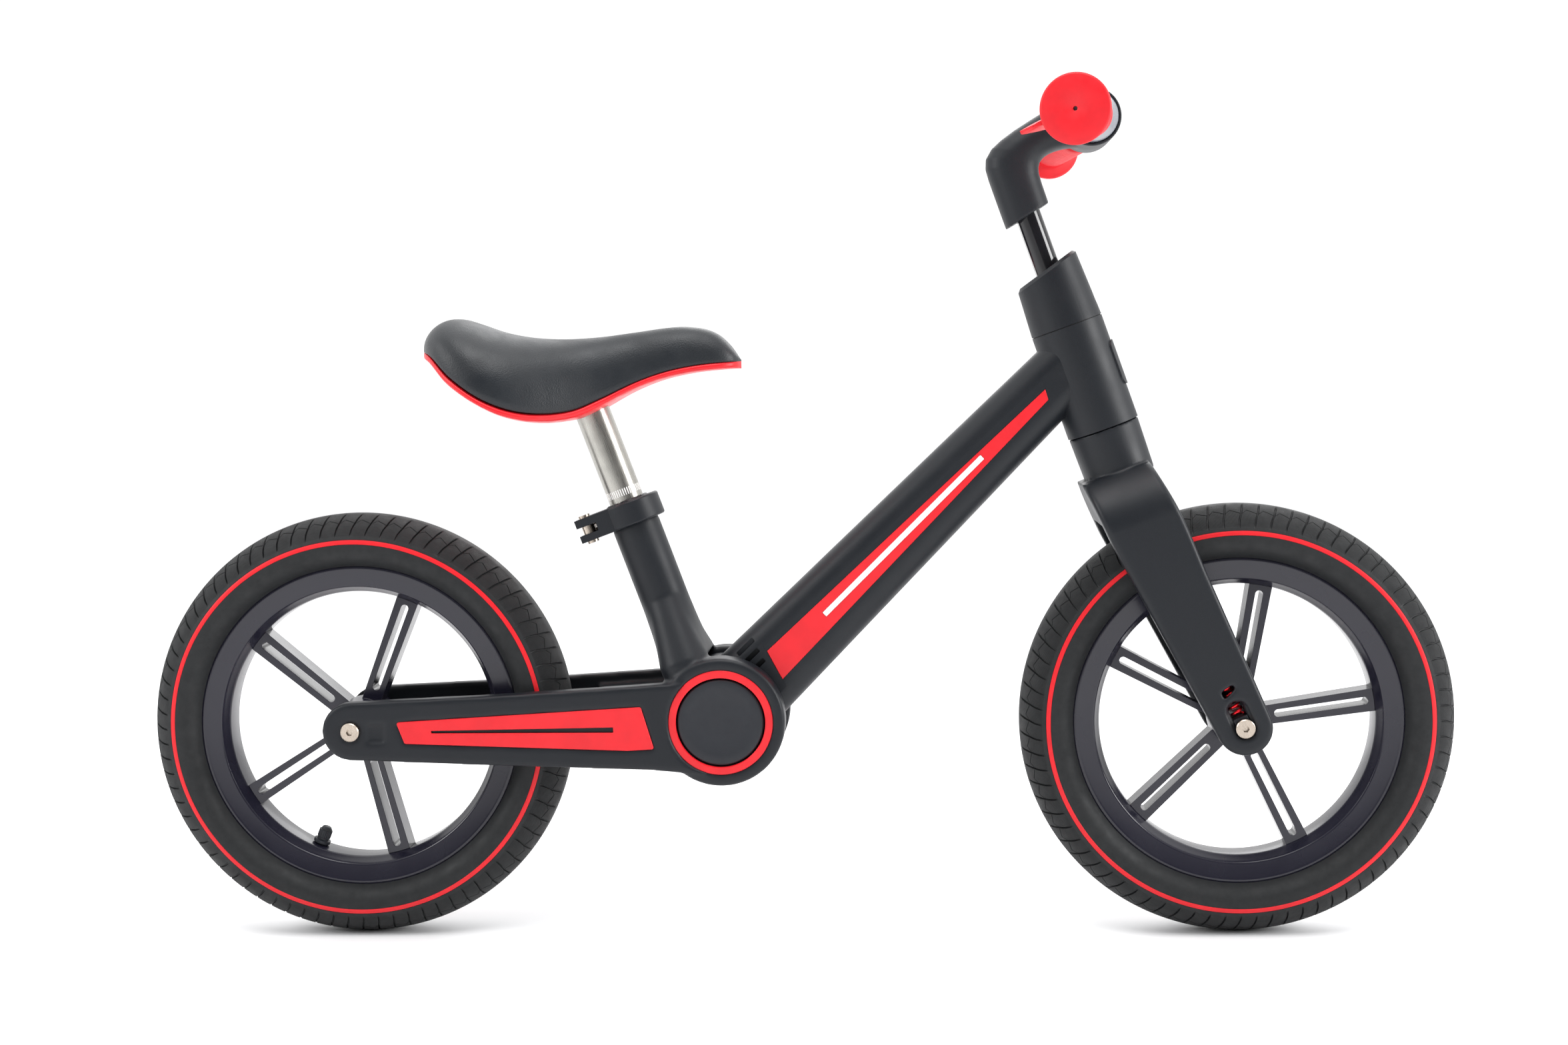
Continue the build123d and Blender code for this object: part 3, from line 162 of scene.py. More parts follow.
class BikeStageSettings(bpy.types.PropertyGroup):
    """Camera and lights."""

    camera_place: bpy.props.FloatVectorProperty(
        name="Camera",
        description="Camera position",
        default=(0.0815, -1.5256, 0.4136),
        subtype="TRANSLATION",
    )
    camera_turn: bpy.props.FloatVectorProperty(
        name="Camera turn",
        description="Camera rotation",
        default=(radians(85.7201), radians(0.8633), radians(3.2167)),
        subtype="EULER",
    )
    camera_lens: bpy.props.FloatProperty(
        name="Lens", description="Focal length in millimetres", default=48.51, unit="CAMERA"
    )
    room_light: bpy.props.FloatProperty(
        name="Room light", description="Light from behind the bike", default=1.1
    )
    near_light: bpy.props.FloatProperty(
        name="Near light", description="Light from the near side", default=0.13
    )
    sky_light: bpy.props.FloatProperty(
        name="Sky light", description="Extra light from overhead", default=0.5
    )


SETTINGS = {
    "bike_finish": BikeFinishSettings,
    "bike_tyre": BikeTyreSettings,
    "bike_saddle": BikeSaddleSettings,
    "bike_grip": BikeGripSettings,
    "bike_stage": BikeStageSettings,
}


# ---------------------------------------------------------------- helpers for shapes
def placing(origin, x_axis, z_axis):
    """Matrix whose local x and z point along the given directions from origin."""
    z_dir = Vector(z_axis).normalized()
    y_dir = z_dir.cross(Vector(x_axis)).normalized()
    matrix = Matrix((y_dir.cross(z_dir), y_dir, z_dir)).transposed().to_4x4()
    matrix.translation = origin
    return matrix


def curve_value(points, x):
    """Height at x on a smooth curve through points sorted by x."""
    xs = [p[0] for p in points]
    if x <= xs[0]:
        return points[0][1]
    if x >= xs[-1]:
        return points[-1][1]
    slopes = []
    for i in range(len(points)):
        low, high = points[max(i - 1, 0)], points[min(i + 1, len(points) - 1)]
        slopes.append((high[1] - low[1]) / (high[0] - low[0]))
    i = max(k for k, value in enumerate(xs[:-1]) if value <= x)
    gap = xs[i + 1] - xs[i]
    t = (x - xs[i]) / gap
    start, end = points[i][1], points[i + 1][1]
    return (
        start * (2 * t**3 - 3 * t**2 + 1)
        + end * (3 * t**2 - 2 * t**3)
        + gap * slopes[i] * (t**3 - 2 * t**2 + t)
        + gap * slopes[i + 1] * (t**3 - t**2)
    )


def ring_profile(bm, points, close=True):
    """Vertices and edges of a section for spinning; points are (radius, height) in metres."""
    verts = [bm.verts.new((radius, 0, height)) for radius, height in points]
    edges = [bm.edges.new(pair) for pair in zip(verts, verts[1:])]
    if close:
        edges.append(bm.edges.new((verts[-1], verts[0])))
    return verts, edges


def turn_round(bm, section, steps):
    """Spin a section's vertices and edges once round the local z axis."""
    bmesh.ops.spin(
        bm, geom=section, cent=(0, 0, 0), axis=(0, 0, 1), angle=2 * pi, steps=steps, use_merge=True
    )


def spun(points, steps, close=True):
    """A bmesh spun from a section round the local z axis; an open section starts and ends on the axis."""
    bm = bmesh.new()
    verts, edges = ring_profile(bm, points, close)
    turn_round(bm, verts + edges, steps)
    bmesh.ops.remove_doubles(bm, verts=bm.verts, dist=1e-6)
    return bm


def make_piece(name, bm, material, body, replaced=(), sharp=35, normals=True):
    """Turn a bmesh in the bike's frame into a finished piece that rides on a body, if one is named."""
    if normals:
        bmesh.ops.recalc_face_normals(bm, faces=bm.faces)
    mesh = bpy.data.meshes.new(name)
    bm.to_mesh(mesh)
    bm.free()
    mesh.shade_smooth()
    mesh.set_sharp_from_angle(angle=radians(sharp))
    piece = bpy.data.objects.new(name, mesh)
    bpy.context.scene.collection.objects.link(piece)
    mesh.materials.append(material)
    if body:
        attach(piece, body)
    if replaced:
        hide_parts(*replaced)
    return piece


def merged(node):
    """A bmesh of a CAD node with its loose triangles joined."""
    bm = bmesh.new()
    bm.from_mesh(NODES[node].data)
    bmesh.ops.remove_doubles(bm, verts=bm.verts, dist=2e-6)
    return bm


def take_in(bm, other):
    """Add another bmesh's faces to bm and free it."""
    carrier = bpy.data.meshes.new("carrier")
    other.to_mesh(carrier)
    other.free()
    bm.from_mesh(carrier)
    bpy.data.meshes.remove(carrier)


def soften(node, material, width, segments=3):
    """A merged copy of a CAD node with rounded edges, which stands for it."""
    bm = merged(node)
    bmesh.ops.dissolve_limit(bm, angle_limit=radians(0.5), verts=bm.verts, edges=bm.edges)
    piece = make_piece(
        f"{node}_rounded", bm, material, NODES[node]["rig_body"], (node,), sharp=180, normals=False
    )
    rounding = piece.modifiers.new("rounded edges", "BEVEL")
    rounding.width = width * MM
    rounding.segments = segments
    rounding.limit_method = "ANGLE"
    rounding.angle_limit = radians(30)
    rounding.profile = 0.5
    rounding.use_clamp_overlap = True
    rounding.harden_normals = False
    evening = piece.modifiers.new("even shading", "WEIGHTED_NORMAL")
    evening.keep_sharp = True
    return piece


def even_skin(piece, grain, rounds):
    """Remesh a piece finely and smooth it, so that its walls flow into each other."""
    skin = piece.modifiers.new("fine skin", "REMESH")
    skin.mode = "VOXEL"
    skin.voxel_size = grain * MM
    skin.use_smooth_shade = True
    flow = piece.modifiers.new("flow", "SMOOTH")
    flow.factor = 0.5
    flow.iterations = rounds


def cast(node, material, grain, rounds):
    """A copy of a CAD casting with one even skin, which stands for it."""
    body = NODES[node]["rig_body"]
    piece = make_piece(
        f"{node}_cast", merged(node), material, body, (node,), sharp=180, normals=False
    )
    even_skin(piece, grain, rounds)


def sprung(node, joint, mover, material):
    """A copy of a CAD spring that closes up between its own body and the one that presses it."""
    piece = make_piece(
        f"{node}_coil", merged(node), material, None, (node,), sharp=50, normals=False
    )
    travel = Vector(JOINTS[joint]["axis"]).normalized()
    along = [vert.co.dot(travel) for vert in piece.data.vertices]
    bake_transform(piece, NODES[node]["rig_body"], mover, travel * max(along), travel * min(along))


def dress(node, material):
    """Give a carried-over CAD node its finish."""
    NODES[node].data.materials.clear()
    NODES[node].data.materials.append(material)


# ---------------------------------------------------------------- finishes
class Finish:
    """One node material, built up in layers on the piece's own coordinates."""

    def __init__(self, name, rgb, roughness, metallic=0.0, coat=0.0, specular=0.5):
        self.material = bpy.data.materials.new(name)
        self.material.use_nodes = True
        self.nodes = self.material.node_tree.nodes
        self.links = self.material.node_tree.links
        self.shader = self.nodes["Principled BSDF"]
        self.rgb = tuple(rgb)
        self.shader.inputs["Base Color"].default_value = (*self.rgb, 1)
        self.shader.inputs["Roughness"].default_value = roughness
        self.shader.inputs["Metallic"].default_value = metallic
        self.shader.inputs["Coat Weight"].default_value = coat
        self.shader.inputs["Coat Roughness"].default_value = 0.12
        self.shader.inputs["Specular IOR Level"].default_value = specular
        self.place = self.nodes.new("ShaderNodeTexCoord").outputs["Object"]
        self.material.diffuse_color = (*self.rgb, 1)

    def turned(self, origin, angles, stretch=(1, 1, 1)):
        """Coordinates centred on origin and turned by Euler angles."""
        mapping = self.nodes.new("ShaderNodeMapping")
        mapping.vector_type = "TEXTURE"
        mapping.inputs["Location"].default_value = origin
        mapping.inputs["Rotation"].default_value = angles
        mapping.inputs["Scale"].default_value = stretch
        self.links.new(self.place, mapping.inputs["Vector"])
        return mapping.outputs["Vector"]

    def noise(self, size, detail=3.0, rough=0.55, where=None):
        """Noise whose features are about size metres across."""
        node = self.nodes.new("ShaderNodeTexNoise")
        node.inputs["Scale"].default_value = 1 / size
        node.inputs["Detail"].default_value = detail
        node.inputs["Roughness"].default_value = rough
        self.links.new(where or self.place, node.inputs["Vector"])
        return node.outputs["Fac"]

    def cells(self, size):
        """Distance to the nearest cell centre, for grain."""
        node = self.nodes.new("ShaderNodeTexVoronoi")
        node.inputs["Scale"].default_value = 1 / size
        self.links.new(self.place, node.inputs["Vector"])
        return node.outputs["Distance"]

    def spread(self, value, low, high, from_low=0.3, from_high=0.7):
        """Map a value's middle range onto low to high."""
        node = self.nodes.new("ShaderNodeMapRange")
        ranges = {"From Min": from_low, "From Max": from_high, "To Min": low, "To Max": high}
        for socket, number in ranges.items():
            node.inputs[socket].default_value = number
        self.links.new(value, node.inputs["Value"])
        return node.outputs["Result"]

    def maths(self, operation, first, second=0.0, third=0.0):
        """One arithmetic node; inputs are sockets or numbers."""
        node = self.nodes.new("ShaderNodeMath")
        node.operation = operation
        for socket, value in zip(node.inputs, (first, second, third)):
            if isinstance(value, (int, float)):
                socket.default_value = value
            else:
                self.links.new(value, socket)
        return node.outputs["Value"]

    def colour_between(self, share, first, second):
        """Drive the base colour with a blend from a colour, or a colour socket, to a second colour."""
        node = self.nodes.new("ShaderNodeMix")
        node.data_type = "RGBA"
        if isinstance(first, bpy.types.NodeSocket):
            self.links.new(first, node.inputs["A"])
        else:
            node.inputs["A"].default_value = (*first, 1)
        node.inputs["B"].default_value = (*second, 1)
        self.links.new(share, node.inputs["Factor"])
        self.links.new(node.outputs["Result"], self.shader.inputs["Base Color"])
        return node.outputs["Result"]

    def vary_colour(self, value, darker=0.85, lighter=1.12):
        """Shift the base colour gently between a darker and a lighter tone of itself."""
        low = tuple(min(1, c * darker) for c in self.rgb)
        high = tuple(min(1, c * lighter) for c in self.rgb)
        return self.colour_between(self.spread(value, 0, 1), low, high)

    def vary_roughness(self, value, low, high):
        """Let the roughness wander between two values."""
        self.links.new(self.spread(value, low, high), self.shader.inputs["Roughness"])

    def relief(self, value, height, strength=1.0):
        """Add a bump layer whose full height is in metres."""
        node = self.nodes.new("ShaderNodeBump")
        node.inputs["Strength"].default_value = strength
        node.inputs["Distance"].default_value = height
        self.links.new(value, node.inputs["Height"])
        normal = self.shader.inputs["Normal"]
        if normal.is_linked:
            self.links.new(normal.links[0].from_socket, node.inputs["Normal"])
        self.links.new(node.outputs["Normal"], normal)


def powder_coat(name, rgb):
    """Fine-grained satin powder coat."""
    finish = Finish(name, rgb, 0.43, specular=0.36)
    grain = finish.noise(0.00045, 2.0, 0.6)
    cloud = finish.noise(0.035, 3.0)
    finish.vary_colour(finish.noise(0.0006, 4.0, 0.7), 0.78, 1.25)
    finish.vary_roughness(cloud, 0.41, 0.52)
    finish.relief(grain, 0.00006, 0.55)
    return finish.material


def satin_moulding(name, rgb, roughness=0.36):
    """Satin moulded plastic with a faint texture and soft flow variation."""
    finish = Finish(name, rgb, roughness, specular=0.45)
    finish.vary_colour(finish.noise(0.02, 2.0), 0.93, 1.06)
    finish.vary_roughness(finish.noise(0.006, 3.0), roughness - 0.06, roughness + 0.08)
    finish.relief(finish.noise(0.0004, 2.0), 0.00003, 0.35)
    return finish.material


def gloss_moulding(name, rgb, roughness):
    """Glossy moulded plastic with slight waviness and hairline scuffs."""
    finish = Finish(name, rgb, roughness, coat=0.2, specular=0.42)
    finish.vary_colour(finish.noise(0.03, 3.0), 0.97, 1.03)
    finish.vary_roughness(finish.noise(0.03, 2.0, 0.5), roughness - 0.03, roughness + 0.03)
    finish.relief(finish.noise(0.018, 1.0), 0.00012, 0.12)
    return finish.material


KNURL_PITCH = 1.2 * MM


def tyre_rubber(name, rgb):
    """Matt rubber; the blocks carry a fine diamond knurl read from the tread attribute and the UV map."""
    finish = Finish(name, rgb, 0.62, specular=0.42)
    finish.vary_colour(finish.noise(0.004, 4.0), 0.8, 1.25)
    finish.vary_roughness(finish.noise(0.01, 4.0), 0.55, 0.72)
    finish.relief(finish.noise(0.0007, 3.0), 0.00008, 0.4)
    uv = finish.nodes.new("ShaderNodeUVMap")
    uv.uv_map = "tread"
    parts = finish.nodes.new("ShaderNodeSeparateXYZ")
    finish.links.new(uv.outputs["UV"], parts.inputs["Vector"])
    along, over = parts.outputs["X"], parts.outputs["Y"]
    waves = 2 * pi / KNURL_PITCH
    rise = finish.maths("SINE", finish.maths("MULTIPLY", finish.maths("ADD", along, over), waves))
    fall = finish.maths("SINE", finish.maths("MULTIPLY", finish.maths("SUBTRACT", along, over), waves))
    mask = finish.nodes.new("ShaderNodeAttribute")
    mask.attribute_name = "block"
    knurl = finish.maths("MULTIPLY", finish.maths("MULTIPLY", rise, fall), mask.outputs["Fac"])
    finish.relief(knurl, 0.00028, 0.8)
    return finish.material


def leatherette(name, rgb):
    """Soft leatherette with fine pebble grain and fine creases."""
    finish = Finish(name, rgb, 0.45, specular=0.45)
    pebble = finish.cells(0.0011)
    crease = finish.noise(0.006, 6.0, 0.65)
    finish.vary_colour(finish.noise(0.05, 4.0), 0.85, 1.2)
    finish.vary_roughness(finish.noise(0.02, 5.0), 0.38, 0.54)
    finish.relief(pebble, 0.00016, 0.5)
    finish.relief(crease, 0.0004, 0.22)
    finish.shader.inputs["Sheen Weight"].default_value = 0.08
    return finish.material


def satin_metal(name, rgb, roughness):
    """Brushed metal with fine streaks and faint smudges."""
    finish = Finish(name, rgb, roughness, metallic=1.0)
    brushed = finish.turned((0, 0, 0), (0, radians(-20), 0), (1, 1, 30))
    lines = finish.noise(0.0003, 2.0, 0.5, brushed)
    finish.vary_colour(finish.noise(0.01, 4.0), 0.9, 1.05)
    finish.vary_roughness(lines, roughness - 0.06, roughness + 0.1)
    finish.relief(lines, 0.00002, 0.25)
    return finish.material


def soft_rubber(name, rgb):
    """Soft coloured rubber."""
    finish = Finish(name, rgb, 0.48, specular=0.4)
    finish.vary_colour(finish.noise(0.015, 3.0), 0.93, 1.05)
    finish.vary_roughness(finish.noise(0.005, 4.0), 0.42, 0.56)
    finish.relief(finish.noise(0.0005, 2.0), 0.00005, 0.4)
    return finish.material


# the ring of printed marks round the seat post
MARK_COUNT = 47
MARK_SHARE = 0.42
MARK_HALF_HEIGHT = 2.6 * MM
MARK_RISE = 24.5 * MM
MARK_TONE = (0.95, 0.95, 0.93)


def post_metal(name, rgb, ring_centre, tilt):
    """Satin anodised tube with a printed ring of short white marks."""
    finish = Finish(name, rgb, 0.3, metallic=1.0)
    local = finish.turned(ring_centre, (0, -tilt, 0))
    streaks = finish.turned(ring_centre, (0, -tilt, 0), (1, 1, 40))
    parts = finish.nodes.new("ShaderNodeSeparateXYZ")
    finish.links.new(local, parts.inputs["Vector"])
    turn = finish.maths("ARCTAN2", parts.outputs["Y"], parts.outputs["X"])
    beat = finish.maths("FRACT", finish.maths("MULTIPLY", turn, MARK_COUNT / (2 * pi)))
    stripe = finish.maths("LESS_THAN", beat, MARK_SHARE)
    height = finish.maths("ABSOLUTE", parts.outputs["Z"])
    band = finish.maths("LESS_THAN", height, MARK_HALF_HEIGHT)
    marks = finish.maths("MULTIPLY", stripe, band)
    tone = finish.vary_colour(finish.noise(0.01, 3.0), 0.92, 1.05)
    finish.colour_between(marks, tone, MARK_TONE)
    finish.links.new(finish.maths("SUBTRACT", 1.0, marks), finish.shader.inputs["Metallic"])
    finish.vary_roughness(finish.noise(0.0004, 2.0, 0.5, streaks), 0.24, 0.36)
    finish.relief(finish.noise(0.0003, 2.0, 0.5, streaks), 0.00002, 0.2)
    return finish.material


MATERIALS = {}


def make_materials(scene):
    """Every finish of the bike, by name."""
    tones = scene.bike_finish
    tilt = atan2(-SEAT_AXIS.x, SEAT_AXIS.z)
    MATERIALS.update(
        frame=powder_coat("powder_coat", tones.frame),
        accent=satin_moulding("red_moulding", tones.accent),
        cap=satin_moulding("hub_cap_moulding", tones.cap, 0.5),
        strip=satin_moulding("white_strip", tones.strip, 0.3),
        wheel=gloss_moulding("wheel_moulding", tones.wheel, 0.26),
        tyre=tyre_rubber("tyre_rubber", tones.tyre),
        stripe=soft_rubber("stripe_rubber", tones.accent),
        grip=soft_rubber("grip_rubber", tones.accent),
        saddle=leatherette("leatherette", tones.saddle),
        post=post_metal("anodised_post", tones.post, SEAT_TOP + SEAT_AXIS * MARK_RISE, tilt),
        nickel=satin_metal("satin_nickel", tones.nickel, 0.28),
        steel=satin_metal("turned_steel", tones.steel, 0.3),
        spring=satin_metal("red_spring_coat", tones.spring, 0.32),
        dark_steel=satin_metal("blackened_steel", tones.dark_steel, 0.4),
        black_gloss=gloss_moulding("gloss_black", tones.stem_tube, 0.1),
        bar=gloss_moulding("gloss_grey", tones.bar, 0.16),
        tube=tyre_rubber("tube_rubber", tones.tube),
    )


CARRIED = {
    "frame": ("head_badge", "main_beam"),
    "dark_steel": ("steerer_tube", "headset_bearings"),
    "steel": (
        "rear_axle", "hub_barrel", "thrust_washers", "rear_wheel_bearings", "front_wheel_bearings",
        "front_axle",
    ),
    "nickel": (
        "rear_axle_bolts", "front_axle_bolts", "hub_barrel_screws", "clamp_pin", "swing_bolt",
        "head_cover_screw",
    ),
    "post": ("seat_post",),
    "black_gloss": ("stem_tube",),
    "cap": ("slider_blocks",),
    "tube": ("rear_inner_tube", "front_inner_tube"),
    "bar": ("handlebar",),
}


# ---------------------------------------------------------------- operators
class BIKE_OT_finishes(bpy.types.Operator):
    """Make every finish and put them on the carried-over pieces"""

    bl_idname = "balance_bike.finishes"
    bl_label = "Finishes"

    def execute(self, context):
        make_materials(context.scene)
        for finish, names in CARRIED.items():
            for name in names:
                dress(name, MATERIALS[finish])
        return {"FINISHED"}


# section angles run in degrees from the crown of the tyre, 0, to its widest point, 90
TREAD_ANGLES = (0, 5, 10, 14, 18, 24, 30, 35.2, 36, 36.8, 42, 48, 54, 60, 66, 70)
TREAD_START, TREAD_END = 14, 66
STRIPE_ANGLES = (74.2, 82.5)
STRIPE_WALL = 0.4
STRIPE_SINK = 0.9 * MM
WALL_ANGLES = (88, 94, 99)
# degrees in from the stripe's edge, and millimetres out from the wall
STRIPE_EDGE = ((0.35, -1.2), (0.35, -0.1), (0.9, 0.2), (2.0, 0.3))
PLAIN = 100  # stands for the angle of a point that carries no tread
# the slanted line through each block, and how far it pulls the points beside it
LINE_ANGLE = 36
LINE_FROM, LINE_TO = 18, 56
LINE_DRIFT = 6
# places round the tyre within one block, as shares of it; the groove runs between the second and third
STATIONS = (0.0, 0.03, 0.10, 0.13, 0.42, 0.72)
GROOVE_STATIONS = (1, 2)
GROOVE_END = 0.13
EDGE_DEPTH = 0.35
LEAN_CURVE = 1.3
SECTION_DEPTH = 24.5 * MM
SECTION_HALF = 28.6 * MM
# millimetres from the axle and from the middle
BEAD = (
    (124.3, 27.2), (122.1, 25.6), (120.2, 23.6), (118.6, 21.3), (117.6, 19.2), (116.8, 17.6), (115.2, 16.2),
    (114, 13.5), (118, 13.5), (124, 20),
)
TYRE_INSIDE = ((131, 23), (139, 20.5), (146, 13), (149, 0))


def on_section(angle, out=0.0):
    """Point of the tyre's outer section at an angle, moved out along the normal."""
    turn = radians(angle)
    centre = TYRE_R - SECTION_DEPTH
    return (centre + (SECTION_DEPTH + out) * cos(turn), (SECTION_HALF + out) * sin(turn))


def tyre_section():
    """Closed section of the tyre: tread, stripe groove, wall, bead and inside, and each point's angle."""
    half = [(on_section(a), a) for a in TREAD_ANGLES]
    first, last = STRIPE_ANGLES
    half += [(on_section(first), PLAIN), (on_section(first + STRIPE_WALL, -STRIPE_SINK), PLAIN)]
    half += [(on_section(last - STRIPE_WALL, -STRIPE_SINK), PLAIN), (on_section(last), PLAIN)]
    half += [(on_section(a), PLAIN) for a in WALL_ANGLES]
    half += [((r * MM, y * MM), PLAIN) for r, y in BEAD + TYRE_INSIDE]
    mirrored = [((r, -y), a) for (r, y), a in reversed(half[1:-1])]
    return half + mirrored


def line_drift(angle, share):
    """Degrees that the slanted line carries a point over the section, at a share of its block."""
    if not LINE_FROM < angle < LINE_TO:
        return 0.0
    drift = LINE_DRIFT * (1 - 2 * max(0.0, share - GROOVE_END) / (1 - GROOVE_END))
    if angle <= LINE_ANGLE:
        return drift * (angle - LINE_FROM) / (LINE_ANGLE - LINE_FROM)
    return drift * (LINE_TO - angle) / (LINE_TO - LINE_ANGLE)


def shape_tread(bm, settings):
    """Push the grooves and the slanted line into a smooth spun tyre, and mark the blocks."""
    section = bm.verts.layers.float["section"]
    block = bm.verts.layers.float.new("block")
    count = len(STATIONS)
    steps = settings.pitches * count
    pitch = 2 * pi / settings.pitches
    for vert in bm.verts:
        angle = vert[section]
        if angle > 90:
            continue
        turn = atan2(vert.co.y, vert.co.x) % (2 * pi)
        number, station = divmod(round(turn / (2 * pi) * steps) % steps, count)
        share = STATIONS[station]
        inside = TREAD_START <= angle <= TREAD_END
        depth = 0.0
        if inside and station in GROOVE_STATIONS:
            depth = settings.groove_depth
        elif angle == LINE_ANGLE:
            depth = settings.line_depth
        if angle in (TREAD_START, TREAD_END):
            depth *= EDGE_DEPTH
        lean = settings.lean * (1 - min(angle, TREAD_END) / TREAD_END) ** LEAN_CURVE
        new_turn = (number + share - lean) * pitch
        radius, height = on_section(angle + line_drift(angle, share), -depth)
        side = 1 if vert.co.z >= 0 else -1
        vert.co = (radius * cos(new_turn), radius * sin(new_turn), side * height)
        vert[block] = 1.0 if inside and depth == 0 else 0.0


def add_tread_map(bm):
    """UV map in metres: along the tread and over the section."""
    layer = bm.loops.layers.uv.new("tread")
    for face in bm.faces:
        middle = face.calc_center_median()
        face_turn = atan2(middle.y, middle.x)
        for loop in face.loops:
            co = loop.vert.co
            turn = atan2(co.y, co.x)
            turn += 2 * pi * round((face_turn - turn) / (2 * pi))
            radius = Vector((co.x, co.y)).length
            over = atan2(co.z, radius - (TYRE_R - SECTION_DEPTH))
            loop[layer].uv = (turn * TYRE_R, over * SECTION_HALF)


def wheel_place(axle):
    """Local z of a spun wheel piece along the axle, local x forward."""
    return placing(axle, (1, 0, 0), (0, -1, 0))


class BIKE_OT_tyres(bpy.types.Operator):
    """Build both tyres with their tread, and the coloured rings in their walls"""

    bl_idname = "balance_bike.tyres"
    bl_label = "Tyres"

    def execute(self, context):
        settings = context.scene.bike_tyre
        for end, axle in (("rear", REAR_AXLE), ("front", FRONT_AXLE)):
            bm = bmesh.new()
            layer = bm.verts.layers.float.new("section")
            section = tyre_section()
            verts, edges = ring_profile(bm, [point for point, angle in section])
            for vert, (point, angle) in zip(verts, section):
                vert[layer] = angle
            turn_round(bm, verts + edges, settings.pitches * len(STATIONS))
            bmesh.ops.remove_doubles(bm, verts=bm.verts, dist=1e-7)
            shape_tread(bm, settings)
            add_tread_map(bm)
            bm.transform(wheel_place(axle))
            stood_for = (f"{end}_tyre",)
            make_piece(f"{end}_tyre_tread", bm, MATERIALS["tyre"], f"{end}_wheel", stood_for, 30)
            self.make_stripe(end, axle)
        return {"FINISHED"}

    def make_stripe(self, end, axle):
        """Both coloured rings of one tyre as one piece."""
        first, last = STRIPE_ANGLES
        points = [on_section(first + a, out * MM) for a, out in STRIPE_EDGE]
        points += [on_section(last - a, out * MM) for a, out in reversed(STRIPE_EDGE)]
        bm = spun(points, 200)
        bmesh.ops.mirror(bm, geom=bm.verts[:] + bm.edges[:] + bm.faces[:], axis="Z", merge_dist=-1)
        bm.transform(wheel_place(axle))
        stood_for = (f"{end}_tyre_stripe",)
        make_piece(f"{end}_tyre_ring", bm, MATERIALS["stripe"], f"{end}_wheel", stood_for)


# section of the rim in millimetres from its outer lip in: distance from the axle, distance from the middle
RIM_SECTION = (
    (118.0, 13.5), (118.0, 16.6), (117.6, 17.8), (116.9, 18.5), (115.6, 18.9), (114.4, 18.7), (113.4, 18.3),
    (103.6, 18.3), (102.6, 18.0), (102.0, 17.2), (101.2, 15.4), (98.9, 11.4), (98.2, 10.2), (98.0, 9.0),
)
RIM_OUTSIDE = ((104.5, 0), (104.5, 6), (109.5, 8), (111.5, 14.5))
# millimetres from the valve's own axis and from the wheel's axle: cap, its ridged grip, and the nut
VALVE_CAP = (
    (0, 84.2), (2.6, 84.2), (3.4, 84.8), (3.7, 85.6), (3.7, 86.6), (4.9, 86.8), (4.9, 92.4), (4.3, 92.8),
    (4.3, 94.2), (6.2, 94.4), (6.2, 96.6), (5.4, 97.4), (0, 97.4),
)
VALVE_GRIP_R = 4.9 * MM
VALVE_RIDGES = 24
VALVE_GROOVE = 0.93


class BIKE_OT_wheels(bpy.types.Operator):
    """Build both wheel mouldings: rounded rims with a bead line, and slotted spokes"""

    bl_idname = "balance_bike.wheels"
    bl_label = "Wheels"

    def execute(self, context):
        for end, axle in (("rear", REAR_AXLE), ("front", FRONT_AXLE)):
            self.make_rim(end, axle)
            soften(f"{end}_spokes", MATERIALS["wheel"], 0.8)
            self.make_valve_cap(end, axle)
        return {"FINISHED"}

    def make_valve_cap(self, end, axle):
        """Ridged cap on the valve stem and the nut against the rim."""
        low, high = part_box(f"{end}_valve_cap")
        away = (low + high) / 2 - axle
        away = Vector((away.x, 0, away.z)).normalized()
        bm = spun([(r * MM, z * MM) for r, z in VALVE_CAP], VALVE_RIDGES * 2, close=False)
        for vert in bm.verts:
            across = Vector((vert.co.x, vert.co.y))
            station = round(atan2(across.y, across.x) / pi * VALVE_RIDGES)
            if abs(across.length - VALVE_GRIP_R) < 0.3 * MM and station % 2:
                vert.co.x, vert.co.y = across * VALVE_GROOVE
        bm.transform(placing(axle, (0, 1, 0), away))
        stood_for = (f"{end}_valve_cap",)
        make_piece(f"{end}_valve_top", bm, MATERIALS["cap"], f"{end}_wheel", stood_for, 40)

    def make_rim(self, end, axle):
        """Rim channel spun from its rounded section."""
        half = [(r * MM, y * MM) for r, y in RIM_OUTSIDE + RIM_SECTION]
        section = half + [(r, -y) for r, y in reversed(half[1:])]
        bm = spun(section, 256)
        bm.transform(wheel_place(axle))
        make_piece(f"{end}_rim_moulded", bm, MATERIALS["wheel"], f"{end}_wheel", (f"{end}_rim",), 50)


# the dark seal under the head cover, along and round the head axis
SEAL_RISE = 76.9 * MM
SEAL_INNER, SEAL_OUTER, SEAL_DEPTH = 14.3 * MM, 25.3 * MM, 0.4 * MM
# the clamp lever is drawn in past this distance ahead of the seat post, so that it hides behind the clamp
LEVER_REACH = 12 * MM
LEVER_CUT = 0.6


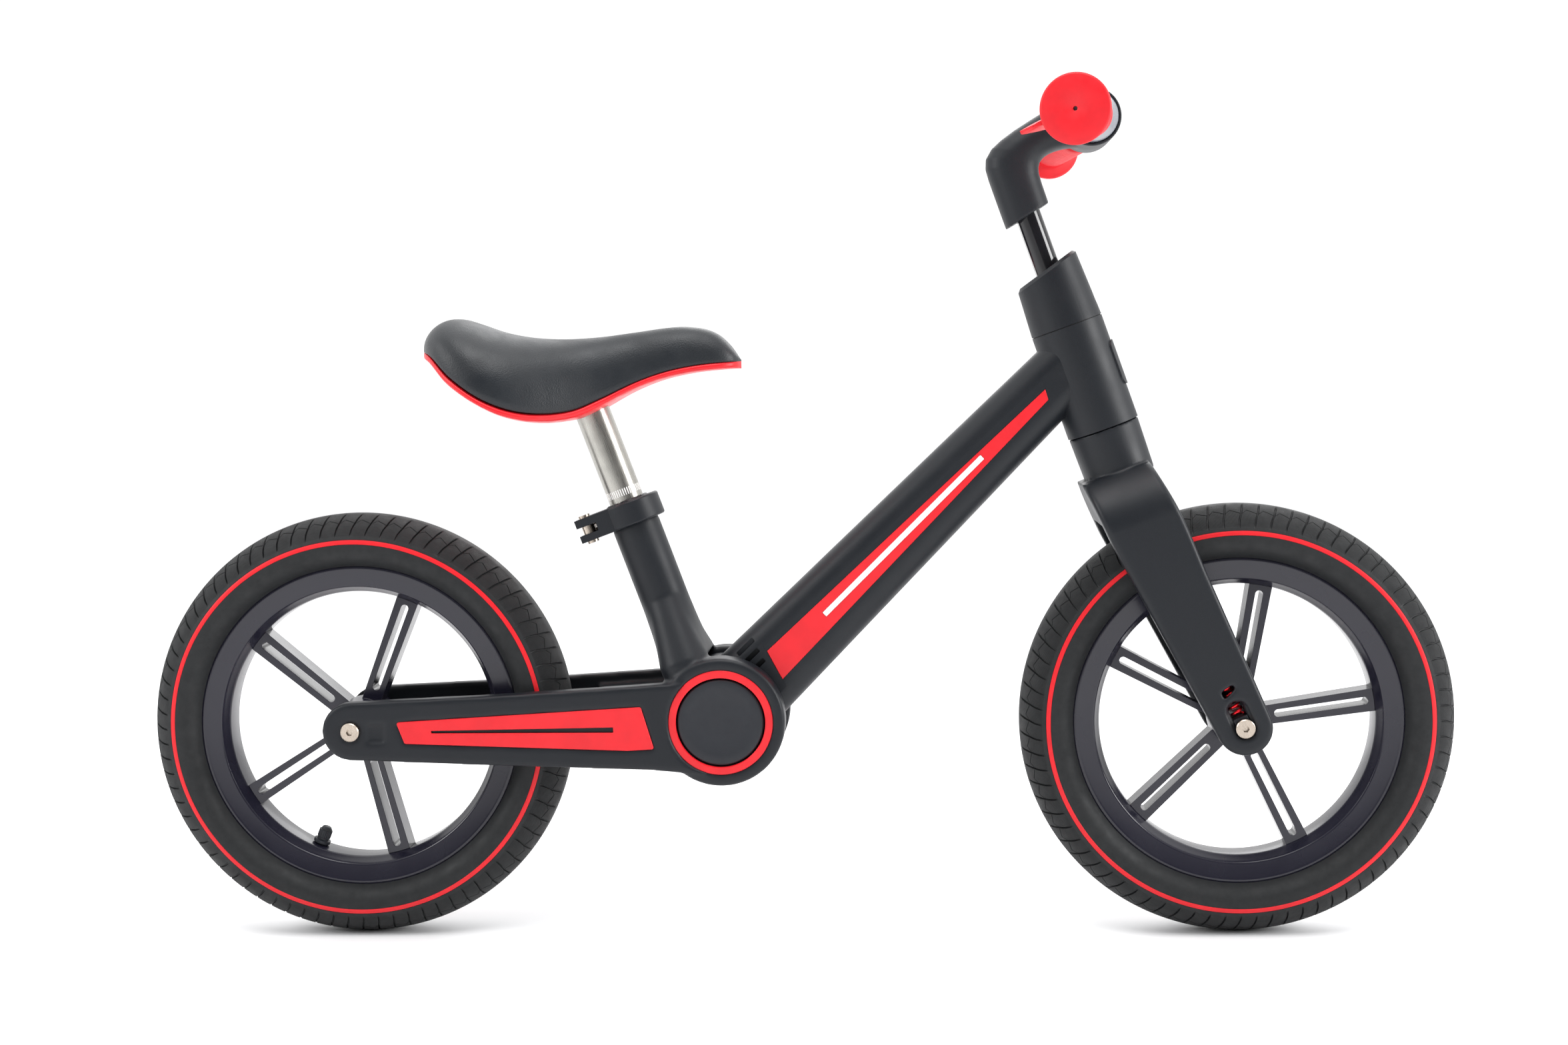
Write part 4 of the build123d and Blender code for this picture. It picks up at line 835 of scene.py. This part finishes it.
class BIKE_OT_frame(bpy.types.Operator):
    """Round the edges of the frame, beam, head, fork and trims, and make the springs and the head seal"""

    bl_idname = "balance_bike.frame"
    bl_label = "Frame"

    def execute(self, context):
        for node, width in (("beam_connector", 0.5), ("head_shell", 0.8), ("head_cover", 0.8)):
            soften(node, MATERIALS["frame"], width)
        soften("seat_clamp", MATERIALS["frame"], 0.9)
        self.make_lever()
        cast("rear_frame", MATERIALS["frame"], grain=1.7, rounds=3)
        cast("fork", MATERIALS["frame"], grain=1.2, rounds=4)
        self.make_seal()
        for side in SIDES:
            sprung(f"fork_spring_{side}", "front_suspension", "front_axle", MATERIALS["spring"])
            button = f"hub_button_{side}"
            sprung(f"button_spring_{side}", f"{button}_press", button, MATERIALS["steel"])
        for trim, width in (("stay_inlay", 0.6), ("beam_panel", 0.3), ("hub_trim_ring", 0.3)):
            for side in SIDES:
                soften(f"{trim}_{side}", MATERIALS["accent"], width, 2)
        for side in SIDES:
            soften(f"beam_strip_{side}", MATERIALS["strip"], 0.5, 2)
        return {"FINISHED"}

    def make_lever(self):
        """Clamp lever with its tip drawn in towards the clamp."""
        lever = soften("clamp_lever", MATERIALS["frame"], 1.2)
        forward = Vector((SEAT_AXIS.z, 0, -SEAT_AXIS.x)).normalized()
        for vert in lever.data.vertices:
            past = (vert.co - SEAT_TOP).dot(forward) - LEVER_REACH
            if past > 0:
                vert.co -= forward * past * LEVER_CUT

    def make_seal(self):
        """Dark seal in the gap between the head and the cover that turns on it."""
        section = [(SEAL_INNER, 0), (SEAL_OUTER, 0), (SEAL_OUTER, SEAL_DEPTH), (SEAL_INNER, SEAL_DEPTH)]
        bm = spun(section, 96)
        bm.transform(placing(HEAD_BOTTOM + HEAD_AXIS.normalized() * SEAL_RISE, ACROSS, HEAD_AXIS))
        make_piece("head_seal", bm, MATERIALS["tube"], "fork")


# the caps' dish: millimetres from the middle and below the face
CAP_DISH = ((0, 0.9), (12, 0.85), (19, 0.6), (23.4, 0.2), (24.6, 0.05))
# their outer edge: millimetres in from the rim, and below the face or above the back
CAP_FRONT_EDGE = ((2.4, 0), (1.2, 0.25), (0.35, 0.9), (0, 1.9))
CAP_BACK_EDGE = ((0, 3.5), (1.0, 1.5), (3.0, 0), (4, 0))
CAP_WALL = 4 * MM
# the lock ring's teeth are cut back past this radius
TOOTH_ROOT = 26.5 * MM
TOOTH_CUT = 0.75


class BIKE_OT_hub_caps(bpy.types.Operator):
    """Build the dished caps and the lock rings of the two fold buttons"""

    bl_idname = "balance_bike.hub_caps"
    bl_label = "Hub caps"

    def execute(self, context):
        low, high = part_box("hub_button_near")
        radius = (high.x - low.x) / 2
        face, back = -low.y, -high.y
        section = [(r * MM, face - drop * MM) for r, drop in CAP_DISH]
        section += [(radius - inset * MM, face - drop * MM) for inset, drop in CAP_FRONT_EDGE]
        section += [(radius - inset * MM, back + rise * MM) for inset, rise in CAP_BACK_EDGE]
        section += [(radius - CAP_WALL, face - CAP_WALL), (0, face - CAP_WALL)]
        for label, side in SIDES.items():
            bm = spun(section, 128, close=False)
            bm.transform(placing((HUB.x, 0, HUB.z), (1, 0, 0), (0, side, 0)))
            button = f"hub_button_{label}"
            make_piece(f"hub_cap_{label}", bm, MATERIALS["cap"], button, (button,))
            self.make_lock_ring(label)
        return {"FINISHED"}

    def make_lock_ring(self, label):
        """Lock ring whose teeth stay clear of the rounded floor of the pocket."""
        ring = soften(f"lock_ring_{label}", MATERIALS["steel"], 0.15, 2)
        for vert in ring.data.vertices:
            out = Vector((vert.co.x - HUB.x, 0, vert.co.z - HUB.z))
            extra = out.length - TOOTH_ROOT
            if extra > 0:
                vert.co -= out.normalized() * extra * TOOTH_CUT


# side view of the saddle: crown line, seam line and lower edge, and its half plan; x against height or width
CROWN = (
    (-264.5, 428), (-262, 436), (-255, 444.5), (-246, 449.2), (-236, 449.6), (-225, 446.4), (-205, 439.5),
    (-183, 435.4), (-160, 434.2), (-136, 435.4), (-112, 438.2), (-90, 441), (-75, 441.8), (-60, 439.8),
    (-50, 435.2), (-42, 427.5), (-35.2, 417.6),
)
SEAM = (
    (-264.5, 427.5), (-252, 423), (-236, 408.5), (-215, 394), (-193, 384.9), (-174, 382.2), (-154, 384),
    (-136, 391.2), (-108, 403.9), (-86, 411.0), (-62, 415.2), (-35, 417),
)
LOWER = (
    (-264.5, 422), (-254, 417), (-239, 402), (-217, 387.4), (-198, 378.6), (-176, 374.4), (-154, 376.2),
    (-141, 381), (-114, 395.2), (-92, 403.6), (-68, 408.6), (-44, 410.8), (-36, 411.2),
)
HALF_PLAN = (
    (-264.5, 0), (-263.6, 12), (-259, 30), (-251, 45), (-240, 56), (-226, 62.8), (-212, 64.8),
    (-196, 62.5), (-182, 56.5), (-166, 47), (-152, 38.5), (-136, 30.5), (-120, 25.2), (-100, 21.8),
    (-80, 20.2), (-62, 19.4), (-50, 17.4), (-42, 13.2), (-37.5, 7.5), (-35, 0),
)
# powers that square off the saddle's round cross section: below 1 is squarer
COVER_SIDE, COVER_CROWN = 0.86, 0.82
SHELL_SIDE, SHELL_EDGE = 0.45, 0.6
COVER_SWELL = 0.015
COVER_TUCK = 1.5


def squared(value, power):
    """A value from -1 to 1 raised to a power, keeping its sign."""
    return abs(value) ** power * (1 if value >= 0 else -1)


def saddle_form(bm, settings, part):
    """Shape a sphere whose poles lie fore and aft into the saddle's cover or its red shell."""
    tail, nose = HALF_PLAN[0][0], HALF_PLAN[-1][0]
    middle, reach = (tail + nose) / 2, (nose - tail) / 2
    bulge = settings.rim_bulge / MM
    for vert in bm.verts:
        along = max(-1.0, min(1.0, vert.co.x))
        x = middle + reach * along
        ring = max(1e-9, (vert.co.y**2 + vert.co.z**2) ** 0.5)
        across, up = vert.co.y / ring, vert.co.z / ring
        width = curve_value(HALF_PLAN, x)
        seam = curve_value(SEAM, x)
        if part == "shell":
            lower = curve_value(LOWER, x)
            y = (width + bulge * (1 - along**8)) * squared(across, SHELL_SIDE)
            z = (seam + lower) / 2 + (seam - lower) / 2 * squared(up, SHELL_EDGE)
        elif up >= 0:
            crown = max(seam, curve_value(CROWN, x))
            y = width * squared(across, COVER_SIDE) * (1 + COVER_SWELL * up)
            z = seam + (crown - seam) * up**COVER_CROWN
        else:
            y = width * across
            z = seam + COVER_TUCK * up
        vert.co = (x * MM, y * MM, z * MM)


class BIKE_OT_saddle(bpy.types.Operator):
    """Build the padded saddle cover and the red shell under it"""

    bl_idname = "balance_bike.saddle"
    bl_label = "Saddle"

    def execute(self, context):
        settings = context.scene.bike_saddle
        for part, name, finish, slot in (
            ("cover", "saddle_cover_padded", "saddle", "saddle_cover"),
            ("shell", "saddle_shell_moulded", "accent", "red_plastic"),
        ):
            bm = bmesh.new()
            bmesh.ops.create_uvsphere(bm, u_segments=96, v_segments=110, radius=1.0)
            bm.transform(Matrix.Rotation(pi / 2, 4, "Y"))
            saddle_form(bm, settings, part)
            piece = make_piece(name, bm, MATERIALS[finish], "seat", (f"saddle_{part}",), 60)
        return {"FINISHED"}


# the bar runs straight across inside the stem's barrel, and sweeps back from there to its ends
T_CENTRE = Vector((0.215, 0, 0.583))
BAR_START = T_CENTRE + ACROSS * (28 * MM)
BAR_END = Vector((0.1945, 0.132, 0.5763))
GRIP_START = 50 * MM
BARREL_INNER = 11.05 * MM
BARREL_ROOT, BARREL_TIP = 16.2 * MM, 15.0 * MM
END_HOLE = 1.5 * MM
FLANGE_R = 23.4 * MM
FLANGE_DEPTH, FLANGE_PROUD = 5 * MM, 1 * MM
RIBS_FROM, RIBS_SHORT = 3 * MM, 14 * MM
# one rib along its share of the grip: where it starts to rise, its crest and where it is down again
RIB_SHAPE = ((0, 0), (0.25, 1), (0.6, 1), (0.85, 0))
# the palm wing points back and a little down; share of its length against how far it stands out
WING_TURN = radians(200)
WING_REACH = ((0, 0), (0.12, 17), (0.3, 27), (0.5, 35), (0.7, 40), (0.85, 40.5), (0.95, 36), (1, 30))
WING_LEAST, WING_FROM = 10 * MM, 6 * MM
WING_START, WING_GAP = 16 * MM, 3.5 * MM


def bar_place(side, distance):
    """Place on the swept bar at a distance out from the middle, local z along the bar and outward."""
    share = (distance - BAR_START.y) / (BAR_END.y - BAR_START.y)
    point = BAR_START.lerp(BAR_END, share)
    run = BAR_END - BAR_START
    origin = Vector((point.x, side * point.y, point.z))
    direction = Vector((run.x, side * run.y, run.z))
    return placing(origin, (1, 0, 0), direction)


class BIKE_OT_grips(bpy.types.Operator):
    """Build the ribbed grips with their end flanges and palm wings"""

    bl_idname = "balance_bike.grips"
    bl_label = "Grips"

    def execute(self, context):
        settings = context.scene.bike_grip
        length_along = BAR_END.y - GRIP_START
        for label, side in SIDES.items():
            bm = self.barrel(settings, length_along)
            bm.transform(bar_place(side, GRIP_START))
            wing = self.wing(settings, length_along, side)
            wing.transform(bar_place(side, GRIP_START))
            take_in(bm, wing)
            name = f"grip_{label}"
            make_piece(f"{name}_ribbed", bm, MATERIALS["grip"], "handlebar", (name,), 50)
        return {"FINISHED"}

    def barrel(self, settings, length_along):
        """Ribbed barrel and its end flange, spun round the bar."""
        flange_end = length_along + FLANGE_PROUD
        flange_from = flange_end - FLANGE_DEPTH
        points = [(BARREL_INNER, 0), (BARREL_ROOT - 0.6 * MM, 0), (BARREL_ROOT, 0.6 * MM)]
        gap = (length_along - RIBS_SHORT) / settings.ribs
        for number in range(settings.ribs):
            start = RIBS_FROM + number * gap
            radius = BARREL_ROOT + (BARREL_TIP - BARREL_ROOT) * start / length_along
            points += [
                (radius + settings.rib_height * rise, start + gap * share) for share, rise in RIB_SHAPE
            ]
        # a hollow flare up to the flange, its rounded edge, and back down to the hole in its face
        points += [
            (BARREL_TIP, flange_from - 5 * MM),
            (BARREL_TIP + 0.8 * MM, flange_from - 1.6 * MM),
            (BARREL_TIP + 2.4 * MM, flange_from),
            (FLANGE_R - 1.4 * MM, flange_from),
            (FLANGE_R - 0.4 * MM, flange_from + 0.4 * MM),
            (FLANGE_R, flange_from + 1.5 * MM),
            (FLANGE_R, flange_end - 1.6 * MM),
            (FLANGE_R - 0.4 * MM, flange_end - 0.5 * MM),
            (FLANGE_R - 1.5 * MM, flange_end),
            (END_HOLE + 0.5 * MM, flange_end),
            (END_HOLE, flange_end - 0.4 * MM),
            (END_HOLE, flange_from),
            (BARREL_INNER, flange_from),
        ]
        return spun(points, 96)

    def wing(self, settings, length_along, side):
        """Palm wing: a block whose edge bows out towards the flange."""
        bm = bmesh.new()
        bmesh.ops.create_cube(bm, size=2.0)
        bmesh.ops.subdivide_edges(bm, edges=bm.edges[:], cuts=7, use_grid_fill=True)
        outward = Vector((cos(WING_TURN), 0, sin(WING_TURN)))
        local_out = bar_place(side, GRIP_START).to_3x3().inverted() @ outward
        local_out = Vector((local_out.x, local_out.y, 0)).normalized()
        local_up = Vector((0, 0, 1)).cross(local_out)
        for vert in bm.verts:
            along = (vert.co.x + 1) / 2
            out = (vert.co.y + 1) / 2
            thick = settings.wing_root + (settings.wing_tip - settings.wing_root) * out
            edge = max(curve_value(WING_REACH, along) * MM, WING_LEAST)
            distance = WING_FROM + out * (edge - WING_FROM)
            rounding = (1 - 0.5 * out**6) * (1 - 0.35 * abs(2 * along - 1) ** 6)
            height = vert.co.z / 2 * thick * rounding
            run = WING_START + along * (length_along - WING_GAP - WING_START)
            vert.co = local_out * distance + local_up * height + Vector((0, 0, run))
        bmesh.ops.bevel(
            bm,
            geom=[edge for edge in bm.edges if edge.calc_face_angle(0) > radians(50)],
            offset=1.2 * MM,
            segments=3,
            profile=0.5,
            affect="EDGES",
            material=-1,
            clamp_overlap=True,
        )
        return bm


# the stem's side view in millimetres: matching points on its rear and front outline, and its half width,
# measured forward of and up the head axis from the bottom of the head
STEM_RINGS = (
    ((-17.2, 156.6), (17.2, 164.0), 17.2),
    ((-17.3, 168), (17.3, 171), 17.3),
    ((-17.3, 182), (17.4, 179.5), 17.3),
    ((-17.3, 193), (17.9, 186), 17.3),
    ((-16.8, 201.5), (19.0, 190), 17.2),
    ((-14.2, 208.2), (21.0, 193), 17.0),
    ((-8, 213.6), (24.5, 195.3), 16.8),
    ((0.5, 217.2), (29, 196.4), 16.6),
    ((11, 220.3), (34, 196.6), 16.6),
    ((24, 223.2), (40, 196.0), 16.8),
    ((38, 226), (47, 194.2), 17.4),
    ((51, 228), (55.5, 191.2), 18.4),
    ((61, 229), (62.5, 188.6), 19.0),
)
STEM_POINTS = 48
STEM_SQUARENESS = 2.3
# the barrel round the bar: millimetres from the bar's middle line and across the bike
T_BARREL = ((18.2, -26), (18.6, -26), (20.1, -26), (20.5, -25.6), (20.5, 25.6), (20.1, 26), (18.2, 26))


class BIKE_OT_stem(bpy.types.Operator):
    """Build the bent stem that flows from the stem tube into the barrel round the handlebar"""

    bl_idname = "balance_bike.stem"
    bl_label = "Stem"

    def execute(self, context):
        up = HEAD_AXIS.normalized()
        ahead = ACROSS.cross(up)
        bm = bmesh.new()
        rings = []
        for rear, front, half in STEM_RINGS:
            ends = [HEAD_BOTTOM + ahead * (u * MM) + up * (s * MM) for u, s in (rear, front)]
            middle, reach = (ends[0] + ends[1]) / 2, (ends[1] - ends[0]) / 2
            ring = []
            for step in range(STEM_POINTS):
                turn = 2 * pi * step / STEM_POINTS
                round_sum = abs(cos(turn)) ** STEM_SQUARENESS + abs(sin(turn)) ** STEM_SQUARENESS
                bulge = round_sum ** (-1 / STEM_SQUARENESS)
                sideways = ACROSS * (sin(turn) * bulge * half * MM)
                ring.append(bm.verts.new(middle + reach * (cos(turn) * bulge) + sideways))
            rings.append([bm.edges.new(pair) for pair in zip(ring, ring[1:] + ring[:1])])
        for low, high in zip(rings, rings[1:]):
            bmesh.ops.bridge_loops(bm, edges=low + high)
        bmesh.ops.contextual_create(bm, geom=rings[0])
        bmesh.ops.contextual_create(bm, geom=rings[-1])
        collar = spun([(r * MM, z * MM) for r, z in T_BARREL], 96)
        collar.transform(placing(T_CENTRE, (1, 0, 0), ACROSS))
        take_in(bm, collar)
        piece = make_piece("stem_cast", bm, MATERIALS["frame"], "handlebar", ("stem",), sharp=180)
        even_skin(piece, grain=0.7, rounds=6)
        return {"FINISHED"}


# name, place, the point each faces, width in metres and power in watts
SOFT_BOXES = (
    ("top", (0.0, -0.7, 2.1), (0, 0, 0.1), 1.2, 22),
    ("left", (-2.0, -0.8, 1.2), (0, 0, 0.25), 0.9, 20),
    ("right", (2.2, -0.55, 0.9), (0, 0, 0.3), 0.9, 34),
    ("back", (0.4, 2.0, 1.6), (0, 0, 0.3), 1.6, 16),
)


class BIKE_OT_stage(bpy.types.Operator):
    """Set the floor, the room, the lights and the camera"""

    bl_idname = "balance_bike.stage"
    bl_label = "Stage"

    def execute(self, context):
        scene = context.scene
        settings = scene.bike_stage
        scene.view_settings.view_transform = "Standard"
        self.floor()
        self.room(scene, settings)
        self.lights()
        camera_data = bpy.data.cameras.new("camera")
        camera_data.sensor_width = 36
        camera_data.lens = settings.camera_lens
        camera_data.clip_end = 100
        camera = bpy.data.objects.new("camera", camera_data)
        camera.location = settings.camera_place
        camera.rotation_euler = Euler(settings.camera_turn, "XYZ")
        scene.collection.objects.link(camera)
        scene.camera = camera
        return {"FINISHED"}

    def floor(self):
        """A wide pale floor."""
        bm = bmesh.new()
        bmesh.ops.create_grid(bm, x_segments=1, y_segments=1, size=30)
        mesh = bpy.data.meshes.new("floor")
        bm.to_mesh(mesh)
        bm.free()
        floor = bpy.data.objects.new("floor", mesh)
        bpy.context.scene.collection.objects.link(floor)
        finish = Finish("floor_paint", (0.93, 0.93, 0.94), 0.55, specular=0.3)
        finish.vary_roughness(finish.noise(0.4, 3.0), 0.5, 0.6)
        mesh.materials.append(finish.material)

    def room(self, scene, settings):
        """White surroundings: bright overhead and behind the bike, dimmer on its near side."""
        world = bpy.data.worlds.new("studio")
        world.use_nodes = True
        nodes, links = world.node_tree.nodes, world.node_tree.links
        parts = nodes.new("ShaderNodeSeparateXYZ")
        links.new(nodes.new("ShaderNodeTexCoord").outputs["Generated"], parts.inputs["Vector"])
        total = nodes.new("ShaderNodeMath")
        ramps = (
            ("Y", -0.7, 0.25, settings.near_light, settings.room_light),
            ("Z", 0.15, 0.9, 0, settings.sky_light),
        )
        for number, (axis, from_low, from_high, low, high) in enumerate(ramps):
            ramp = nodes.new("ShaderNodeMapRange")
            ramp.interpolation_type = "SMOOTHSTEP"
            ramp.inputs["From Min"].default_value = from_low
            ramp.inputs["From Max"].default_value = from_high
            ramp.inputs["To Min"].default_value = low
            ramp.inputs["To Max"].default_value = high
            links.new(parts.outputs[axis], ramp.inputs["Value"])
            links.new(ramp.outputs["Result"], total.inputs[number])
        background = nodes["Background"]
        background.inputs["Color"].default_value = (1, 1, 1, 1)
        links.new(total.outputs["Value"], background.inputs["Strength"])
        scene.world = world

    def lights(self):
        """Soft boxes above, in front and behind."""
        for name, place, target, size, power in SOFT_BOXES:
            data = bpy.data.lights.new(name, "AREA")
            data.shape = "SQUARE"
            data.size = size
            data.energy = power
            lamp = bpy.data.objects.new(name, data)
            lamp.location = place
            aim = Vector(target) - Vector(place)
            lamp.rotation_euler = aim.to_track_quat("-Z", "Y").to_euler()
            bpy.context.scene.collection.objects.link(lamp)


class BIKE_PT_panel(bpy.types.Panel):
    """Lists the steps that build the bike's looks"""

    bl_label = "Balance Bike"
    bl_idname = "BIKE_PT_panel"
    bl_space_type = "VIEW_3D"
    bl_region_type = "UI"
    bl_category = "Balance Bike"

    def draw(self, context):
        for operator in OPERATORS:
            self.layout.operator(operator.bl_idname)


OPERATORS = (
    BIKE_OT_finishes,
    BIKE_OT_tyres,
    BIKE_OT_wheels,
    BIKE_OT_frame,
    BIKE_OT_hub_caps,
    BIKE_OT_saddle,
    BIKE_OT_grips,
    BIKE_OT_stem,
    BIKE_OT_stage,
)


def register():
    """Register the settings, the operators and the panel."""
    for name, group in SETTINGS.items():
        bpy.utils.register_class(group)
        setattr(bpy.types.Scene, name, bpy.props.PointerProperty(type=group))
    for operator in OPERATORS:
        bpy.utils.register_class(operator)
    bpy.utils.register_class(BIKE_PT_panel)


def unregister():
    """Undo register."""
    bpy.utils.unregister_class(BIKE_PT_panel)
    for operator in reversed(OPERATORS):
        bpy.utils.unregister_class(operator)
    for name, group in reversed(SETTINGS.items()):
        delattr(bpy.types.Scene, name)
        bpy.utils.unregister_class(group)


def main():
    """Build everything in order."""
    register()
    bpy.ops.balance_bike.finishes()
    bpy.ops.balance_bike.tyres()
    bpy.ops.balance_bike.wheels()
    bpy.ops.balance_bike.frame()
    bpy.ops.balance_bike.hub_caps()
    bpy.ops.balance_bike.saddle()
    bpy.ops.balance_bike.grips()
    bpy.ops.balance_bike.stem()
    bpy.ops.balance_bike.stage()


if __name__ == "__main__":
    main()
